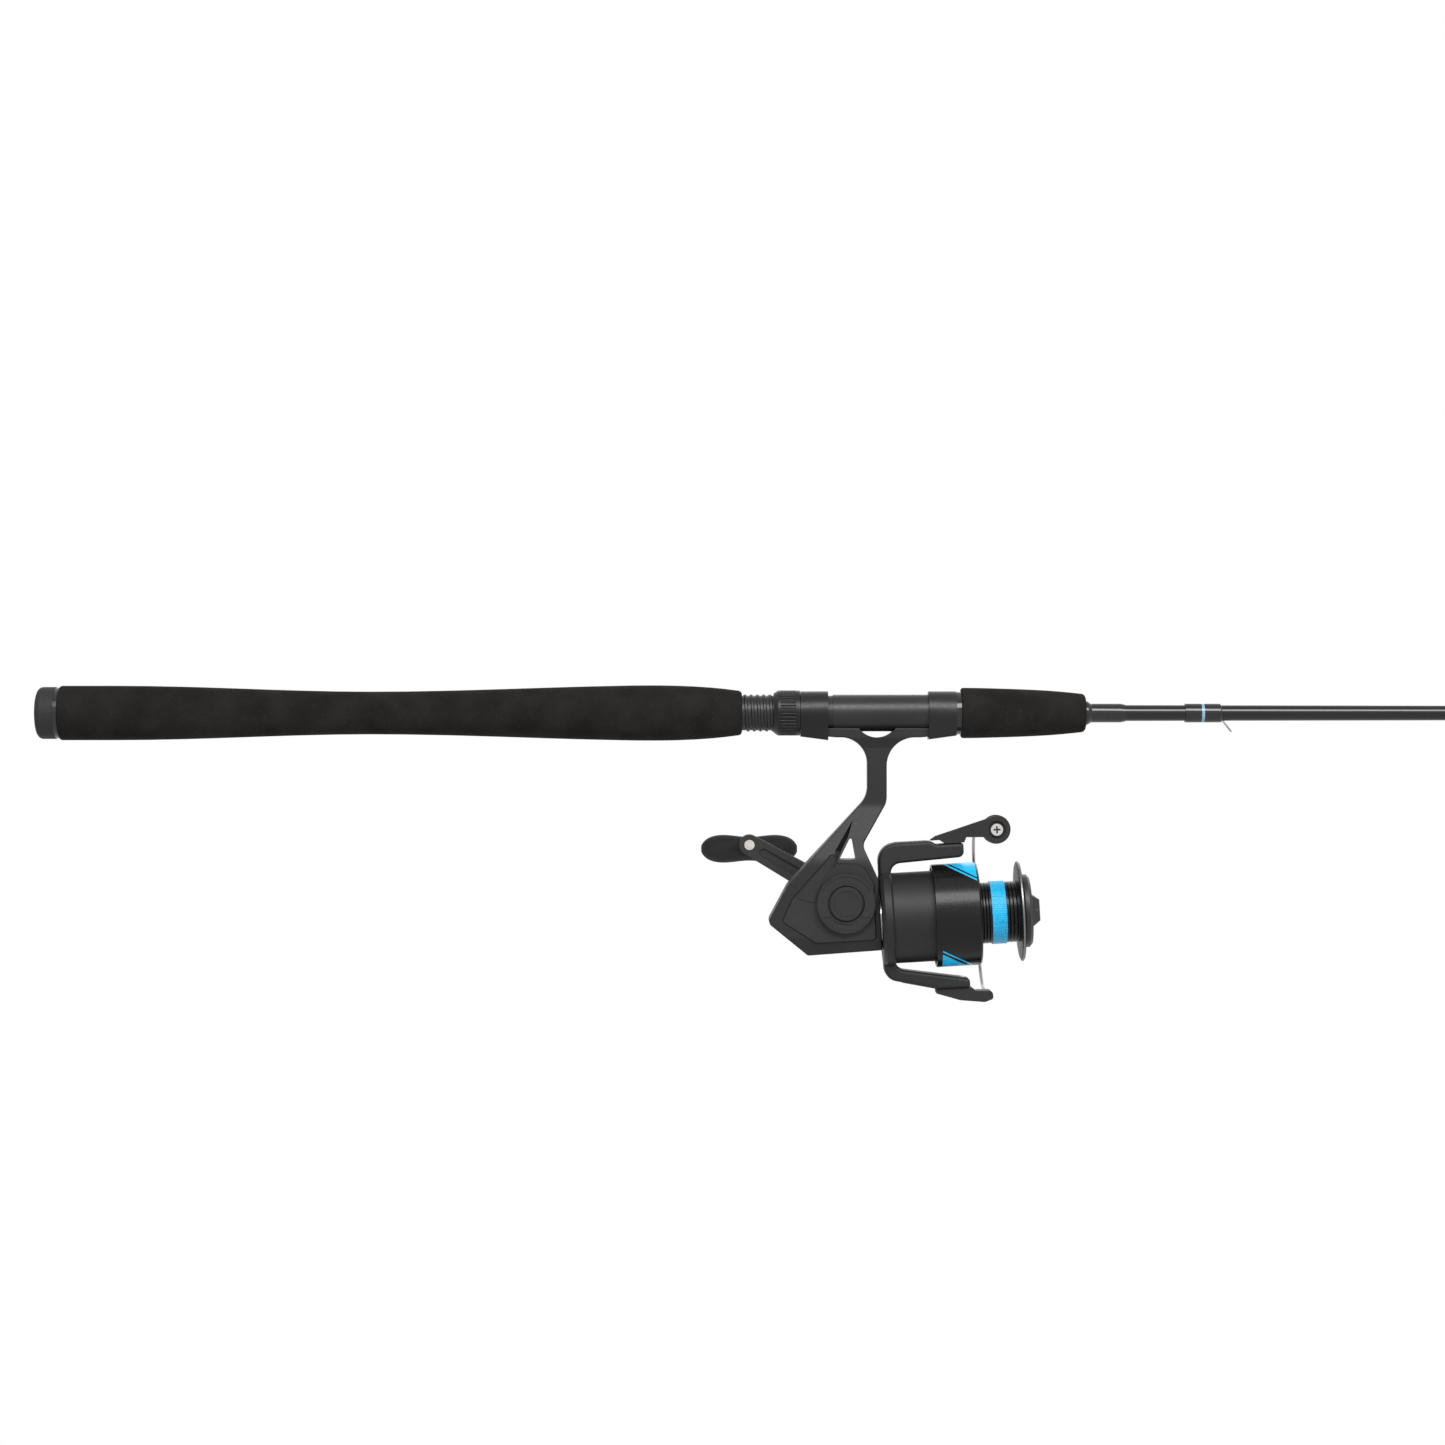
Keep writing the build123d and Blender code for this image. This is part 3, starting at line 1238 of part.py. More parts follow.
spool_lip = turned_reel([(arbor_front, drag_cavity_radius), (arbor_front, lip_radius - 1.2),
                         (arbor_front + 0.6, lip_radius), (arbor_front + 1.2, lip_radius),
                         (arbor_front + lip_thickness, lip_radius - 0.8),
                         (arbor_front + lip_thickness, drag_cavity_radius)])
arbor_band = turned_reel(tube(band_rear + glue_gap, band_front - glue_gap, arbor_radius - 0.6 + glue_gap,
                              arbor_radius + band_height))

with BuildPart() as drag_washers:
    for index in range(washer_count):
        washer_outer = drag_cavity_radius - (0.3 if index % 2 else 1.0)
        with BuildSketch(reel_across(drag_floor + 0.1 + index * (washer_thickness + 0.1))):
            Circle(washer_outer)
            Circle(shaft_bore + 0.1, mode=Mode.SUBTRACT)
        extrude(amount=washer_thickness)
stack_front = drag_floor + 0.1 + washer_count * (washer_thickness + 0.1)
drag_retainer = turned_reel(tube(stack_front + 0.1, stack_front + 0.8, drag_cavity_radius - 1.2,
                                 drag_cavity_radius - glue_gap))

knob_disc_front = drag_knob_rear + drag_disc_thickness
with BuildPart() as drag_knob:
    with BuildSketch(SPIN_SIDE):
        with BuildLine():
            Polyline((stack_front + side_gap, 0), (stack_front + side_gap, drag_cavity_radius - 2.5),
                     (drag_knob_rear, drag_cavity_radius - 2.5), (drag_knob_rear, drag_knob_radius - 0.6),
                     (drag_knob_rear + 0.6, drag_knob_radius), (knob_disc_front - 1.4, drag_knob_radius),
                     (knob_disc_front, drag_knob_radius - 1.6), (knob_disc_front + 0.6, 7.0),
                     (knob_disc_front + 0.6, 0), close=True)
        make_face()
    revolve(axis=SPIN)
    with BuildSketch(reel_across(knob_disc_front)):
        Rectangle(drag_grip_width, drag_grip_height)
        Circle(drag_grip_height / 2, mode=Mode.INTERSECT)
    extrude(amount=drag_nose - knob_disc_front, taper=38)
    with BuildSketch(reel_across(stack_front - 1)):
        Circle(shaft_bore)
    extrude(amount=shaft_front + side_gap - stack_front + 1, mode=Mode.SUBTRACT)

# ---------------------------------------------------------------- crank handle
arm_far_y = arm_near_y + arm_thickness
with BuildPart() as handle_arm:
    with BuildSketch(side(arm_far_y)):
        with Locations((crank_x, crank_z)):
            Circle(arm_hub_radius)
        with Locations((knob_x, knob_z)):
            Circle(arm_tip_radius)
        make_hull()
    extrude(amount=arm_thickness)
    chamfer(handle_arm.faces().filter_by(Axis.Y).edges(), arm_edge)
    with BuildSketch(side(arm_near_y)):
        with Locations(Location(((crank_x + knob_x) / 2, (crank_z + knob_z) / 2, 0), arm_angle)):
            SlotOverall(arm_length - 12, 4.6)
    extrude(amount=-1.4, mode=Mode.SUBTRACT)
    with BuildSketch(side(arm_near_y)):
        with Locations((crank_x, crank_z)):
            Circle(sleeve_radius + 1.0)
    extrude(amount=arm_near_y - handle_boss_y - 0.8)
    with BuildSketch(side(arm_far_y + 1)):
        with Locations((crank_x, crank_z)):
            Circle(crank_shaft_radius + glue_gap)
        with Locations((knob_x, knob_z)):
            Circle(knob_pin_radius + glue_gap)
    extrude(amount=arm_far_y - handle_boss_y + 2, mode=Mode.SUBTRACT)

with BuildPart() as crank_shaft:
    with BuildSketch(side(arm_far_y + 1.2)):
        with Locations((crank_x, crank_z)):
            Circle(arm_hub_radius - 1.5)
    extrude(amount=1.2)
    with BuildSketch(side(arm_far_y)):
        with Locations((crank_x, crank_z)):
            Circle(crank_shaft_radius)
    extrude(amount=arm_far_y - tube_rear_y)

knob_near_y = arm_far_y + side_gap + 0.4
pin_head_y = arm_near_y - 0.8
with BuildPart() as knob_pin:
    with BuildSketch(side(pin_head_y)):
        with Locations((knob_x, knob_z)):
            Circle(knob_pin_radius + 0.6)
    extrude(amount=-0.8)
    with BuildSketch(side(arm_near_y)):
        with Locations((knob_x, knob_z)):
            Circle(knob_pin_radius)
    extrude(amount=-(knob_axis_y + 1.0 - arm_near_y))

knob_centre = (knob_x, knob_axis_y, knob_z - knob_drop)
with BuildPart() as handle_knob:
    with BuildSketch(Plane(origin=knob_centre, x_dir=(1, 0, 0), z_dir=(0, -1, 0))):
        with BuildLine():
            Line((-knob_length / 2, 0), (-knob_length / 2, knob_end_radius))
            Spline((-knob_length / 2, knob_end_radius), (-knob_length * 0.44, knob_radius * 0.72),
                   (-knob_length * 0.3, knob_radius), (0, knob_radius * 0.86),
                   (knob_length * 0.3, knob_radius), (knob_length * 0.44, knob_radius * 0.72),
                   (knob_length / 2, knob_end_radius))
            Line((knob_length / 2, knob_end_radius), (knob_length / 2, 0))
            Line((knob_length / 2, 0), (-knob_length / 2, 0))
        make_face()
    revolve(axis=Axis(knob_centre, (1, 0, 0)))
    with BuildSketch(side(knob_near_y)):
        with Locations((knob_x, knob_z - 0.6)):
            Circle(knob_neck_radius)
    extrude(amount=-(knob_axis_y - knob_near_y))
    with BuildSketch(side(knob_near_y)):
        with Locations((knob_x, knob_z)):
            Circle(knob_pin_radius + running_gap)
    extrude(amount=-(knob_axis_y + 1.0 + side_gap - knob_near_y), mode=Mode.SUBTRACT)

pieces = {
    "butt_cap": butt_cap, "butt_trim_ring": butt_trim_ring, "rear_grip": rear_grip,
    "reel_seat": reel_seat, "seat_bushings": seat_bushings, "lock_nut": lock_nut,
    "sliding_hood": sliding_hood, "hood_trim_ring": hood_trim_ring, "fore_grip": fore_grip,
    "winding_check": winding_check, "butt_blank": butt_blank, "blank_wraps": blank_wraps,
    "hook_keeper": hook_keeper, "guide_1_frame": guide_1_frame, "guide_1_ring": guide_1_ring,
    "guide_1_wraps": guide_1_wraps, "tip_ferrule": tip_ferrule, "tip_blank": tip_blank,
    "tip_guide_rings": tip_guide_rings, "tip_guide_wraps": tip_guide_wraps,
    "tip_top": tip_top, "tip_top_ring": tip_top_ring,
    "reel_body": reel_body, "side_cover": side_cover, "cover_screws": cover_screws,
    "handle_port_cap": handle_port_cap, "drive_bearings": drive_bearings, "pinion_bearing": pinion_bearing,
    "one_way_clutch": one_way_clutch, "clutch_sleeve": clutch_sleeve, "drive_gear": drive_gear,
    "oscillation_gear": oscillation_gear,
    "oscillation_slider": oscillation_slider, "main_shaft": main_shaft, "pinion_gear": pinion_gear,
    "rotor_nut": rotor_nut, "rotor": rotor, "arm_covers": arm_covers, "bail_spring": bail_spring,
    "bail_lever": bail_lever, "bail_arm": bail_arm, "bail_pivot_screws": bail_pivot_screws,
    "bail_wire": bail_wire, "roller_screw": roller_screw, "line_roller": line_roller,
    "spool": spool, "spool_lip": spool_lip, "arbor_band": arbor_band, "drag_washers": drag_washers,
    "drag_retainer": drag_retainer, "drag_knob": drag_knob, "handle_arm": handle_arm,
    "crank_shaft": crank_shaft, "knob_pin": knob_pin, "handle_knob": handle_knob,
}
for number, frame in enumerate(tip_frames, start=2):
    pieces[f"guide_{number}_frame"] = frame

os.makedirs("parts", exist_ok=True)
for name, piece in pieces.items():
    piece.part.label = name
    export_step(piece.part, f"parts/{name}.step")
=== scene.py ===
# %% [markdown]
# # A spinning rod with its reel
# A spinning rod is a thin carbon tube with soft foam grips, a screw-locked seat for the reel and
# a row of guides for the line. The reel hangs under the seat: a crank turns a rotor, whose bail
# winds the line on a spool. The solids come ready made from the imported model, so this lesson is
# about finishes, smooth shading, a few turned pieces and plain studio light.

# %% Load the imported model
import bpy
import bmesh
import json
from math import pi, radians
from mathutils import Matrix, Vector


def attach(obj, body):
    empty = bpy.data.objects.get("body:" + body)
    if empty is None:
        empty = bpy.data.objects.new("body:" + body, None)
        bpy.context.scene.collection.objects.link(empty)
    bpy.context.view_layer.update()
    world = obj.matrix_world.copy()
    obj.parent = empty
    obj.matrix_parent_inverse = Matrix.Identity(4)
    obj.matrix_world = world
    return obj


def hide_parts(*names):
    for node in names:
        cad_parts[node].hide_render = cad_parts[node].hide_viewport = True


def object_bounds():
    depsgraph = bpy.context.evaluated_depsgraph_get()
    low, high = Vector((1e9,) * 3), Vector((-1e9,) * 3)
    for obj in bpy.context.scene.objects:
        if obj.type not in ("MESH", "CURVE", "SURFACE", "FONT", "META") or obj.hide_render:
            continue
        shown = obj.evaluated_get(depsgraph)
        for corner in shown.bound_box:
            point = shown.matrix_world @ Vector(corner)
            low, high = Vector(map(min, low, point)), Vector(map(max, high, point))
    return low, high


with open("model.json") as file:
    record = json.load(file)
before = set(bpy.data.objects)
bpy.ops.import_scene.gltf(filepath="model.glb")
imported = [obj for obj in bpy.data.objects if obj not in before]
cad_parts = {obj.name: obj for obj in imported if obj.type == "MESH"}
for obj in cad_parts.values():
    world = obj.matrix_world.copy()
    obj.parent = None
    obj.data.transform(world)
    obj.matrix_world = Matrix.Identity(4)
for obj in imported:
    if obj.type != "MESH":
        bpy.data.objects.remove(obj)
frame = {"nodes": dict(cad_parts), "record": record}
cad_low, cad_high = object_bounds()
nodes = frame["nodes"]
record = frame["record"]

# %% [markdown]
# Everything on the front of the reel lies about one line, the axis that the rotor turns on. It
# rises a little towards the tip. The record's joints give that line, so no place is typed twice:
# `forward` runs along it, and `upward` is square to it, in the plane of the rod.

# %% The reel's own directions
joints = {joint["name"]: joint for joint in record["behaviour"]["joints"]}
hub = Vector(joints["rotor_turn"]["pos_m"])
forward = Vector(joints["rotor_turn"]["axis"]).normalized()
upward = Vector(joints["bail_flip"]["axis"]).normalized()
rise = forward.angle(Vector((1, 0, 0)))
print("the rotor's axis rises", round(rise * 180 / pi, 2), "degrees")

# %% [markdown]
# ## Smooth shading for solids
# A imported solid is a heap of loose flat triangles, so a round shows as facets. Its mesh must stay
# as it is, but a modifier may work on it. This one is a small geometry-nodes group: it welds the
# triangles, shades every face smooth and keeps an edge sharp where the surface turns by more than
# the given angle. Weighted Normal then lets the large faces set the shading, so that flats stay flat.

# %% A modifier that shades a solid smooth
weld_distance = 2e-6
sharp_turn = radians(32)
shading = bpy.data.node_groups.new("shade_smooth", "GeometryNodeTree")
shading.interface.new_socket("Geometry", in_out="INPUT", socket_type="NodeSocketGeometry")
shading.interface.new_socket("Geometry", in_out="OUTPUT", socket_type="NodeSocketGeometry")
weld = shading.nodes.new("GeometryNodeMergeByDistance")
weld.inputs["Distance"].default_value = weld_distance
all_smooth = shading.nodes.new("GeometryNodeSetShadeSmooth")
keep_sharp = shading.nodes.new("GeometryNodeSetShadeSmooth")
keep_sharp.domain = "EDGE"
keep_sharp.inputs["Shade Smooth"].default_value = False
turn = shading.nodes.new("GeometryNodeInputMeshEdgeAngle")
steep = shading.nodes.new("FunctionNodeCompare")
steep.inputs[1].default_value = sharp_turn
start, end = shading.nodes.new("NodeGroupInput"), shading.nodes.new("NodeGroupOutput")
for source, target in [(start.outputs[0], weld.inputs["Geometry"]),
                       (weld.outputs[0], all_smooth.inputs["Geometry"]),
                       (all_smooth.outputs[0], keep_sharp.inputs["Geometry"]),
                       (turn.outputs["Unsigned Angle"], steep.inputs[0]),
                       (steep.outputs[0], keep_sharp.inputs["Selection"]),
                       (keep_sharp.outputs[0], end.inputs[0])]:
    shading.links.new(source, target)


def shade(piece):
    """Puts the smooth shading on one solid."""
    piece.modifiers.new("shade_smooth", "NODES").node_group = shading
    piece.modifiers.new("flat_faces", "WEIGHTED_NORMAL").keep_sharp = True


for node in nodes.values():
    shade(node)
print("shaded", len(nodes), "solids")

# %% [markdown]
# ## Finishes
# Each finish is one material on a Principled shader. Constants sit on the shader's own sockets.
# What varies over the surface comes from a noise in Object coordinates, at the grain's real size:
# it shifts the colour a little, the roughness a little, and lifts the surface for the light to catch.

# %% Helpers for finishes


def finish(name, colour, roughness, specular=0.3, metallic=0.0, coat=0.0, coat_roughness=0.06):
    """New material with its constants set."""
    material = bpy.data.materials.new(name)
    material.use_nodes = True
    shader = material.node_tree.nodes["Principled BSDF"]
    shader.inputs["Base Color"].default_value = (*colour, 1)
    shader.inputs["Roughness"].default_value = roughness
    shader.inputs["Specular IOR Level"].default_value = specular
    shader.inputs["Metallic"].default_value = metallic
    shader.inputs["Coat Weight"].default_value = coat
    shader.inputs["Coat Roughness"].default_value = coat_roughness
    return material


def grain(material, scale, stretch=(1, 1, 1), detail=4.0):
    """Noise that reads Object coordinates. Returns its factor socket."""
    tree = material.node_tree
    place = tree.nodes.new("ShaderNodeTexCoord")
    mapping = tree.nodes.new("ShaderNodeMapping")
    mapping.inputs["Scale"].default_value = stretch
    noise = tree.nodes.new("ShaderNodeTexNoise")
    noise.inputs["Scale"].default_value = scale
    noise.inputs["Detail"].default_value = detail
    tree.links.new(place.outputs["Object"], mapping.inputs["Vector"])
    tree.links.new(mapping.outputs["Vector"], noise.inputs["Vector"])
    return noise.outputs["Fac"]


def vary_colour(material, factor, dark, light, low=0.35, high=0.65):
    """The factor moves the base colour from dark to light."""
    tree = material.node_tree
    ramp = tree.nodes.new("ShaderNodeValToRGB")
    ramp.color_ramp.elements[0].position = low
    ramp.color_ramp.elements[0].color = (*dark, 1)
    ramp.color_ramp.elements[1].position = high
    ramp.color_ramp.elements[1].color = (*light, 1)
    tree.links.new(factor, ramp.inputs["Fac"])
    tree.links.new(ramp.outputs["Color"], tree.nodes["Principled BSDF"].inputs["Base Color"])
    return ramp


def vary_roughness(material, factor, smooth, rough):
    """The factor moves the roughness from smooth to rough."""
    tree = material.node_tree
    spread = tree.nodes.new("ShaderNodeMapRange")
    spread.inputs["From Min"].default_value = 0.3
    spread.inputs["From Max"].default_value = 0.7
    spread.inputs["To Min"].default_value = smooth
    spread.inputs["To Max"].default_value = rough
    tree.links.new(factor, spread.inputs["Value"])
    tree.links.new(spread.outputs["Result"], tree.nodes["Principled BSDF"].inputs["Roughness"])


def lift(material, height, strength, distance):
    """The height socket raises the surface by up to the distance, in metres."""
    tree = material.node_tree
    bump = tree.nodes.new("ShaderNodeBump")
    bump.inputs["Strength"].default_value = strength
    bump.inputs["Distance"].default_value = distance
    tree.links.new(height, bump.inputs["Height"])
    tree.links.new(bump.outputs["Normal"], tree.nodes["Principled BSDF"].inputs["Normal"])


# %% [markdown]
# ### Foam grips
# EVA foam is sanded to shape. Its open cells scatter the light, so it has almost no shine, a
# mottled near-black colour and a scatter of pale specks of sanding dust in its pores.

# %% Foam
foam = finish("eva_foam", (0.012, 0.0113, 0.0108), 0.95, specular=0.1)
mottle = grain(foam, 70, detail=6)
foam_ramp = vary_colour(foam, mottle, (0.0078, 0.0072, 0.0068), (0.0138, 0.0128, 0.0122))
cells = grain(foam, 2600, detail=3)
lift(foam, cells, 0.55, 0.0002)
specks = foam.node_tree.nodes.new("ShaderNodeTexVoronoi")
specks.inputs["Scale"].default_value = 420
speck_edge = foam.node_tree.nodes.new("ShaderNodeValToRGB")
speck_edge.color_ramp.elements[0].position = 0.05
speck_edge.color_ramp.elements[0].color = (1, 1, 1, 1)
speck_edge.color_ramp.elements[1].position = 0.12
speck_edge.color_ramp.elements[1].color = (0, 0, 0, 1)
speck_mix = foam.node_tree.nodes.new("ShaderNodeMix")
speck_mix.data_type = "RGBA"
speck_mix.inputs["B"].default_value = (0.035, 0.033, 0.031, 1)
foam_place = foam.node_tree.nodes.new("ShaderNodeTexCoord")
for source, target in [(foam_place.outputs["Object"], specks.inputs["Vector"]),
                       (specks.outputs["Distance"], speck_edge.inputs["Fac"]),
                       (speck_edge.outputs["Color"], speck_mix.inputs["Factor"]),
                       (foam_ramp.outputs["Color"], speck_mix.inputs["A"]),
                       (speck_mix.outputs["Result"],
                        foam.node_tree.nodes["Principled BSDF"].inputs["Base Color"])]:
    foam.node_tree.links.new(source, target)
print("foam nodes", len(foam.node_tree.nodes))

# %% [markdown]
# ### Moulded and painted pieces
# The reel's housing, rotor and handle are one family of charcoal satin finishes that differ in
# shine and grain. One function with a few numbers is the plain way to make such a family.

# %% Satin family


def satin(name, level, roughness, scale, depth, specular=0.24):
    """Charcoal satin finish whose grain size is 1 / scale metres."""
    colour = (level, level * 0.985, level * 0.98)
    material = finish(name, colour, roughness, specular)
    cloud = grain(material, 45, detail=5)
    vary_colour(material, cloud, [c * 0.86 for c in colour], [c * 1.14 for c in colour])
    fine = grain(material, scale, detail=3)
    vary_roughness(material, fine, roughness - 0.06, roughness + 0.08)
    lift(material, fine, 0.35, depth)
    return material


housing = satin("housing_satin", 0.0115, 0.46, 1500, 0.00006)
cover_satin = satin("cover_satin", 0.0145, 0.42, 1500, 0.00005, specular=0.27)
rotor_satin = satin("rotor_satin", 0.0115, 0.5, 1700, 0.00005)
seat_satin = satin("seat_satin", 0.012, 0.36, 900, 0.00003, specular=0.3)
hood_satin = satin("hood_satin", 0.006, 0.34, 900, 0.00003, specular=0.25)
butt_rubber = satin("butt_rubber", 0.015, 0.62, 1200, 0.00008)
knob_rubber = satin("knob_rubber", 0.019, 0.66, 2200, 0.00009, specular=0.2)
drag_satin = satin("drag_satin", 0.014, 0.42, 1500, 0.00004, specular=0.36)
arm_satin = satin("arm_satin", 0.02, 0.4, 1400, 0.00004, specular=0.32)
print("satin finishes made")

# %% [markdown]
# ### Gloss finishes
# The blank, the trim rings, the guides' frames and the thread round their feet are varnished. A
# varnish is never quite flat, so a slow noise lifts it a little and a finer one varies its shine.

# %% Gloss family


def gloss(name, level, roughness=0.12, specular=0.3, coat=0.35):
    """Dark gloss finish with a faint orange-peel skin."""
    material = finish(name, (level, level, level * 1.03), roughness, specular, coat=coat)
    skin = grain(material, 260, detail=2)
    lift(material, skin, 0.12, 0.00006)
    vary_roughness(material, grain(material, 900), roughness * 0.8, roughness * 1.3)
    return material


blank_gloss = gloss("blank_gloss", 0.002, 0.05, 0.42, coat=0.0)
ring_gloss = gloss("ring_gloss", 0.006, 0.14)
wrap_gloss = gloss("wrap_gloss", 0.006, 0.08, 0.5, coat=0.0)
frame_gloss = gloss("frame_gloss", 0.012, 0.24, 0.45)
roller_gloss = gloss("roller_gloss", 0.006, 0.14, 0.35)
print("gloss finishes made")

# %% [markdown]
# ### Bare metals
# Screws, shafts and the bail wire are bare. Turned steel has fine marks round its axis and ground
# steel has them along it, so the noise is stretched one way.

# %% Metal family


def metal(name, colour, roughness, stretch=(1, 1, 1)):
    """Bare metal with fine marks."""
    material = finish(name, colour, roughness, specular=0.5, metallic=1.0)
    marks = grain(material, 900, stretch, detail=5)
    vary_roughness(material, marks, roughness * 0.75, roughness * 1.35)
    vary_colour(material, marks, [c * 0.88 for c in colour], colour)
    lift(material, marks, 0.15, 0.00003)
    return material


screw_steel = metal("screw_steel", (0.56, 0.55, 0.53), 0.28)
wire_steel = metal("wire_steel", (0.36, 0.35, 0.34), 0.3, (1, 1, 0.1))
shaft_steel = metal("shaft_steel", (0.6, 0.6, 0.6), 0.2, (0.1, 1, 1))
pin_steel = metal("pin_steel", (0.62, 0.6, 0.57), 0.3)
bearing_steel = metal("bearing_steel", (0.66, 0.66, 0.67), 0.18)
cast_zinc = metal("cast_zinc", (0.5, 0.5, 0.52), 0.4)
brass = metal("brass", (0.65, 0.46, 0.2), 0.25)
felt = finish("drag_felt", (0.1, 0.1, 0.1), 0.95, specular=0.1)
lift(felt, grain(felt, 3000), 0.6, 0.0002)
cork = finish("bushing", (0.3, 0.2, 0.11), 0.85)
vary_colour(cork, grain(cork, 500), (0.12, 0.07, 0.035), (0.36, 0.25, 0.14))
print("metals made")

# %% [markdown]
# ### The spool's paint
# The skirt is gloss black with a light-blue triangle at its top front and one at its bottom rear,
# each with a thin parallel stripe. A dot product with the reel's own directions turns the Object
# coordinates into a place along the axis and a height above it, in metres. A straight painted
# edge is then one sum of the two, compared with a number.

# %% Helpers for painted edges
BLUE = (0.01, 0.38, 0.68)


def wire(material, socket, value):
    """Gives an input a constant or joins it to another node."""
    if isinstance(value, (int, float)):
        socket.default_value = value
    else:
        material.node_tree.links.new(value, socket)


def reckon(material, operation, *values):
    """One Math node on sockets or numbers."""
    node = material.node_tree.nodes.new("ShaderNodeMath")
    node.operation = operation
    for index, value in enumerate(values):
        wire(material, node.inputs[index], value)
    return node.outputs["Value"]


def measure(material, direction):
    """Socket of the place along a direction from the rotor's hub, in metres."""
    tree = material.node_tree
    place = tree.nodes.new("ShaderNodeTexCoord")
    from_hub = tree.nodes.new("ShaderNodeVectorMath")
    from_hub.operation = "SUBTRACT"
    from_hub.inputs[1].default_value = hub
    length = tree.nodes.new("ShaderNodeVectorMath")
    length.operation = "DOT_PRODUCT"
    length.inputs[1].default_value = direction
    tree.links.new(place.outputs["Object"], from_hub.inputs[0])
    tree.links.new(from_hub.outputs["Vector"], length.inputs[0])
    return length.outputs["Value"]


def between(material, value, low, high):
    """1 where the value lies between two numbers, 0 elsewhere."""
    return reckon(material, "MULTIPLY", reckon(material, "GREATER_THAN", value, low),
                  reckon(material, "LESS_THAN", value, high))


def masked(material, mask, plain, marked):
    """Base colour is plain (a colour or a socket) where the mask is 0, and marked where it is 1."""
    tree = material.node_tree
    mix = tree.nodes.new("ShaderNodeMix")
    mix.data_type = "RGBA"
    if isinstance(plain, tuple):
        mix.inputs["A"].default_value = (*plain, 1)
    else:
        tree.links.new(plain, mix.inputs["A"])
    mix.inputs["B"].default_value = (*marked, 1)
    tree.links.new(mask, mix.inputs["Factor"])
    tree.links.new(mix.outputs["Result"], tree.nodes["Principled BSDF"].inputs["Base Color"])


# %% Skirt paint
paint_rear, paint_front = 0.0289, 0.0478
top_slope, low_slope = 0.527, 0.547
top_patch_from, top_stripe_from, top_stripe_to = 0.0442, 0.0425, 0.0434
low_patch_to, low_stripe_from, low_stripe_to = -0.0026, -0.00135, -0.00055
beyond = 1.0
skirt_paint = gloss("skirt_paint", 0.006, 0.24, 0.22, coat=0.0)
along = measure(skirt_paint, forward)
height = measure(skirt_paint, upward)
top_edge = reckon(skirt_paint, "MULTIPLY_ADD", along, top_slope, height)
low_edge = reckon(skirt_paint, "MULTIPLY_ADD", along, low_slope, height)
top_marks = reckon(skirt_paint, "ADD", between(skirt_paint, top_edge, top_patch_from, beyond),
                   between(skirt_paint, top_edge, top_stripe_from, top_stripe_to))
low_marks = reckon(skirt_paint, "ADD", between(skirt_paint, low_edge, -beyond, low_patch_to),
                   between(skirt_paint, low_edge, low_stripe_from, low_stripe_to))
marks = reckon(skirt_paint, "MULTIPLY", reckon(skirt_paint, "ADD", top_marks, low_marks),
               between(skirt_paint, along, paint_rear, paint_front))
masked(skirt_paint, marks, (0.004, 0.004, 0.0044), BLUE)
print("skirt painted from", paint_rear, "to", paint_front)

# %% [markdown]
# The blue band round the arbor has small dents. One cell pattern gives them their depth and
# paints shade into them, darker in the dents and lighter between them, so the two always agree.

# %% Arbor band
band_blue = finish("band_blue", BLUE, 0.42, 0.3)
dent_cells_and_shade = band_blue.node_tree.nodes.new("ShaderNodeTexVoronoi")
dent_cells_and_shade.inputs["Scale"].default_value = 950
dent_cells_and_shade.inputs["Randomness"].default_value = 0.35
band_place = band_blue.node_tree.nodes.new("ShaderNodeTexCoord")
band_blue.node_tree.links.new(band_place.outputs["Object"], dent_cells_and_shade.inputs["Vector"])
# painted shade: the colour darkens in the dents and lightens on the rims between them
vary_colour(band_blue, dent_cells_and_shade.outputs["Distance"], [c * 1.1 for c in BLUE],
            [c * 0.62 for c in BLUE], 0.2, 0.75)
lift(band_blue, dent_cells_and_shade.outputs["Distance"], 0.6, -0.0003)
print("band painted")

# %% [markdown]
# The lip is dark, with its outer rim polished bare so that line slips over it. A distance from the
# rotor's axis, worked out in the shader, tells rim from face.

# %% Spool lip
rim_radius = 0.0248
lip_gloss = gloss("lip_gloss", 0.012, 0.34, 0.06, coat=0.0)
lip_side = measure(lip_gloss, Vector((0, 1, 0)))
lip_up = measure(lip_gloss, upward)
side_squared = reckon(lip_gloss, "MULTIPLY", lip_side, lip_side)
up_squared = reckon(lip_gloss, "MULTIPLY", lip_up, lip_up)
lip_radius = reckon(lip_gloss, "SQRT", reckon(lip_gloss, "ADD", up_squared, side_squared))
rim = reckon(lip_gloss, "GREATER_THAN", lip_radius, rim_radius)
masked(lip_gloss, rim, (0.016, 0.015, 0.015), (0.2, 0.19, 0.18))
wire(lip_gloss, lip_gloss.node_tree.nodes["Principled BSDF"].inputs["Metallic"], rim)
print("lip polished beyond a radius of", rim_radius)

# %% [markdown]
# Thread wound on the blank is varnished black, with one thin pale-blue band near its front. Its
# turns are too fine to model, so a wave lifts the varnish. The band starts and ends at places
# measured back from the thread's own front edge.

# %% Thread
band_back, band_ahead = 0.01, 0.0086


def along_rod(material):
    """Socket of the place along the rod, in metres from the butt."""
    place = material.node_tree.nodes.new("ShaderNodeTexCoord")
    split = material.node_tree.nodes.new("ShaderNodeSeparateXYZ")
    material.node_tree.links.new(place.outputs["Object"], split.inputs["Vector"])
    return split.outputs["X"]


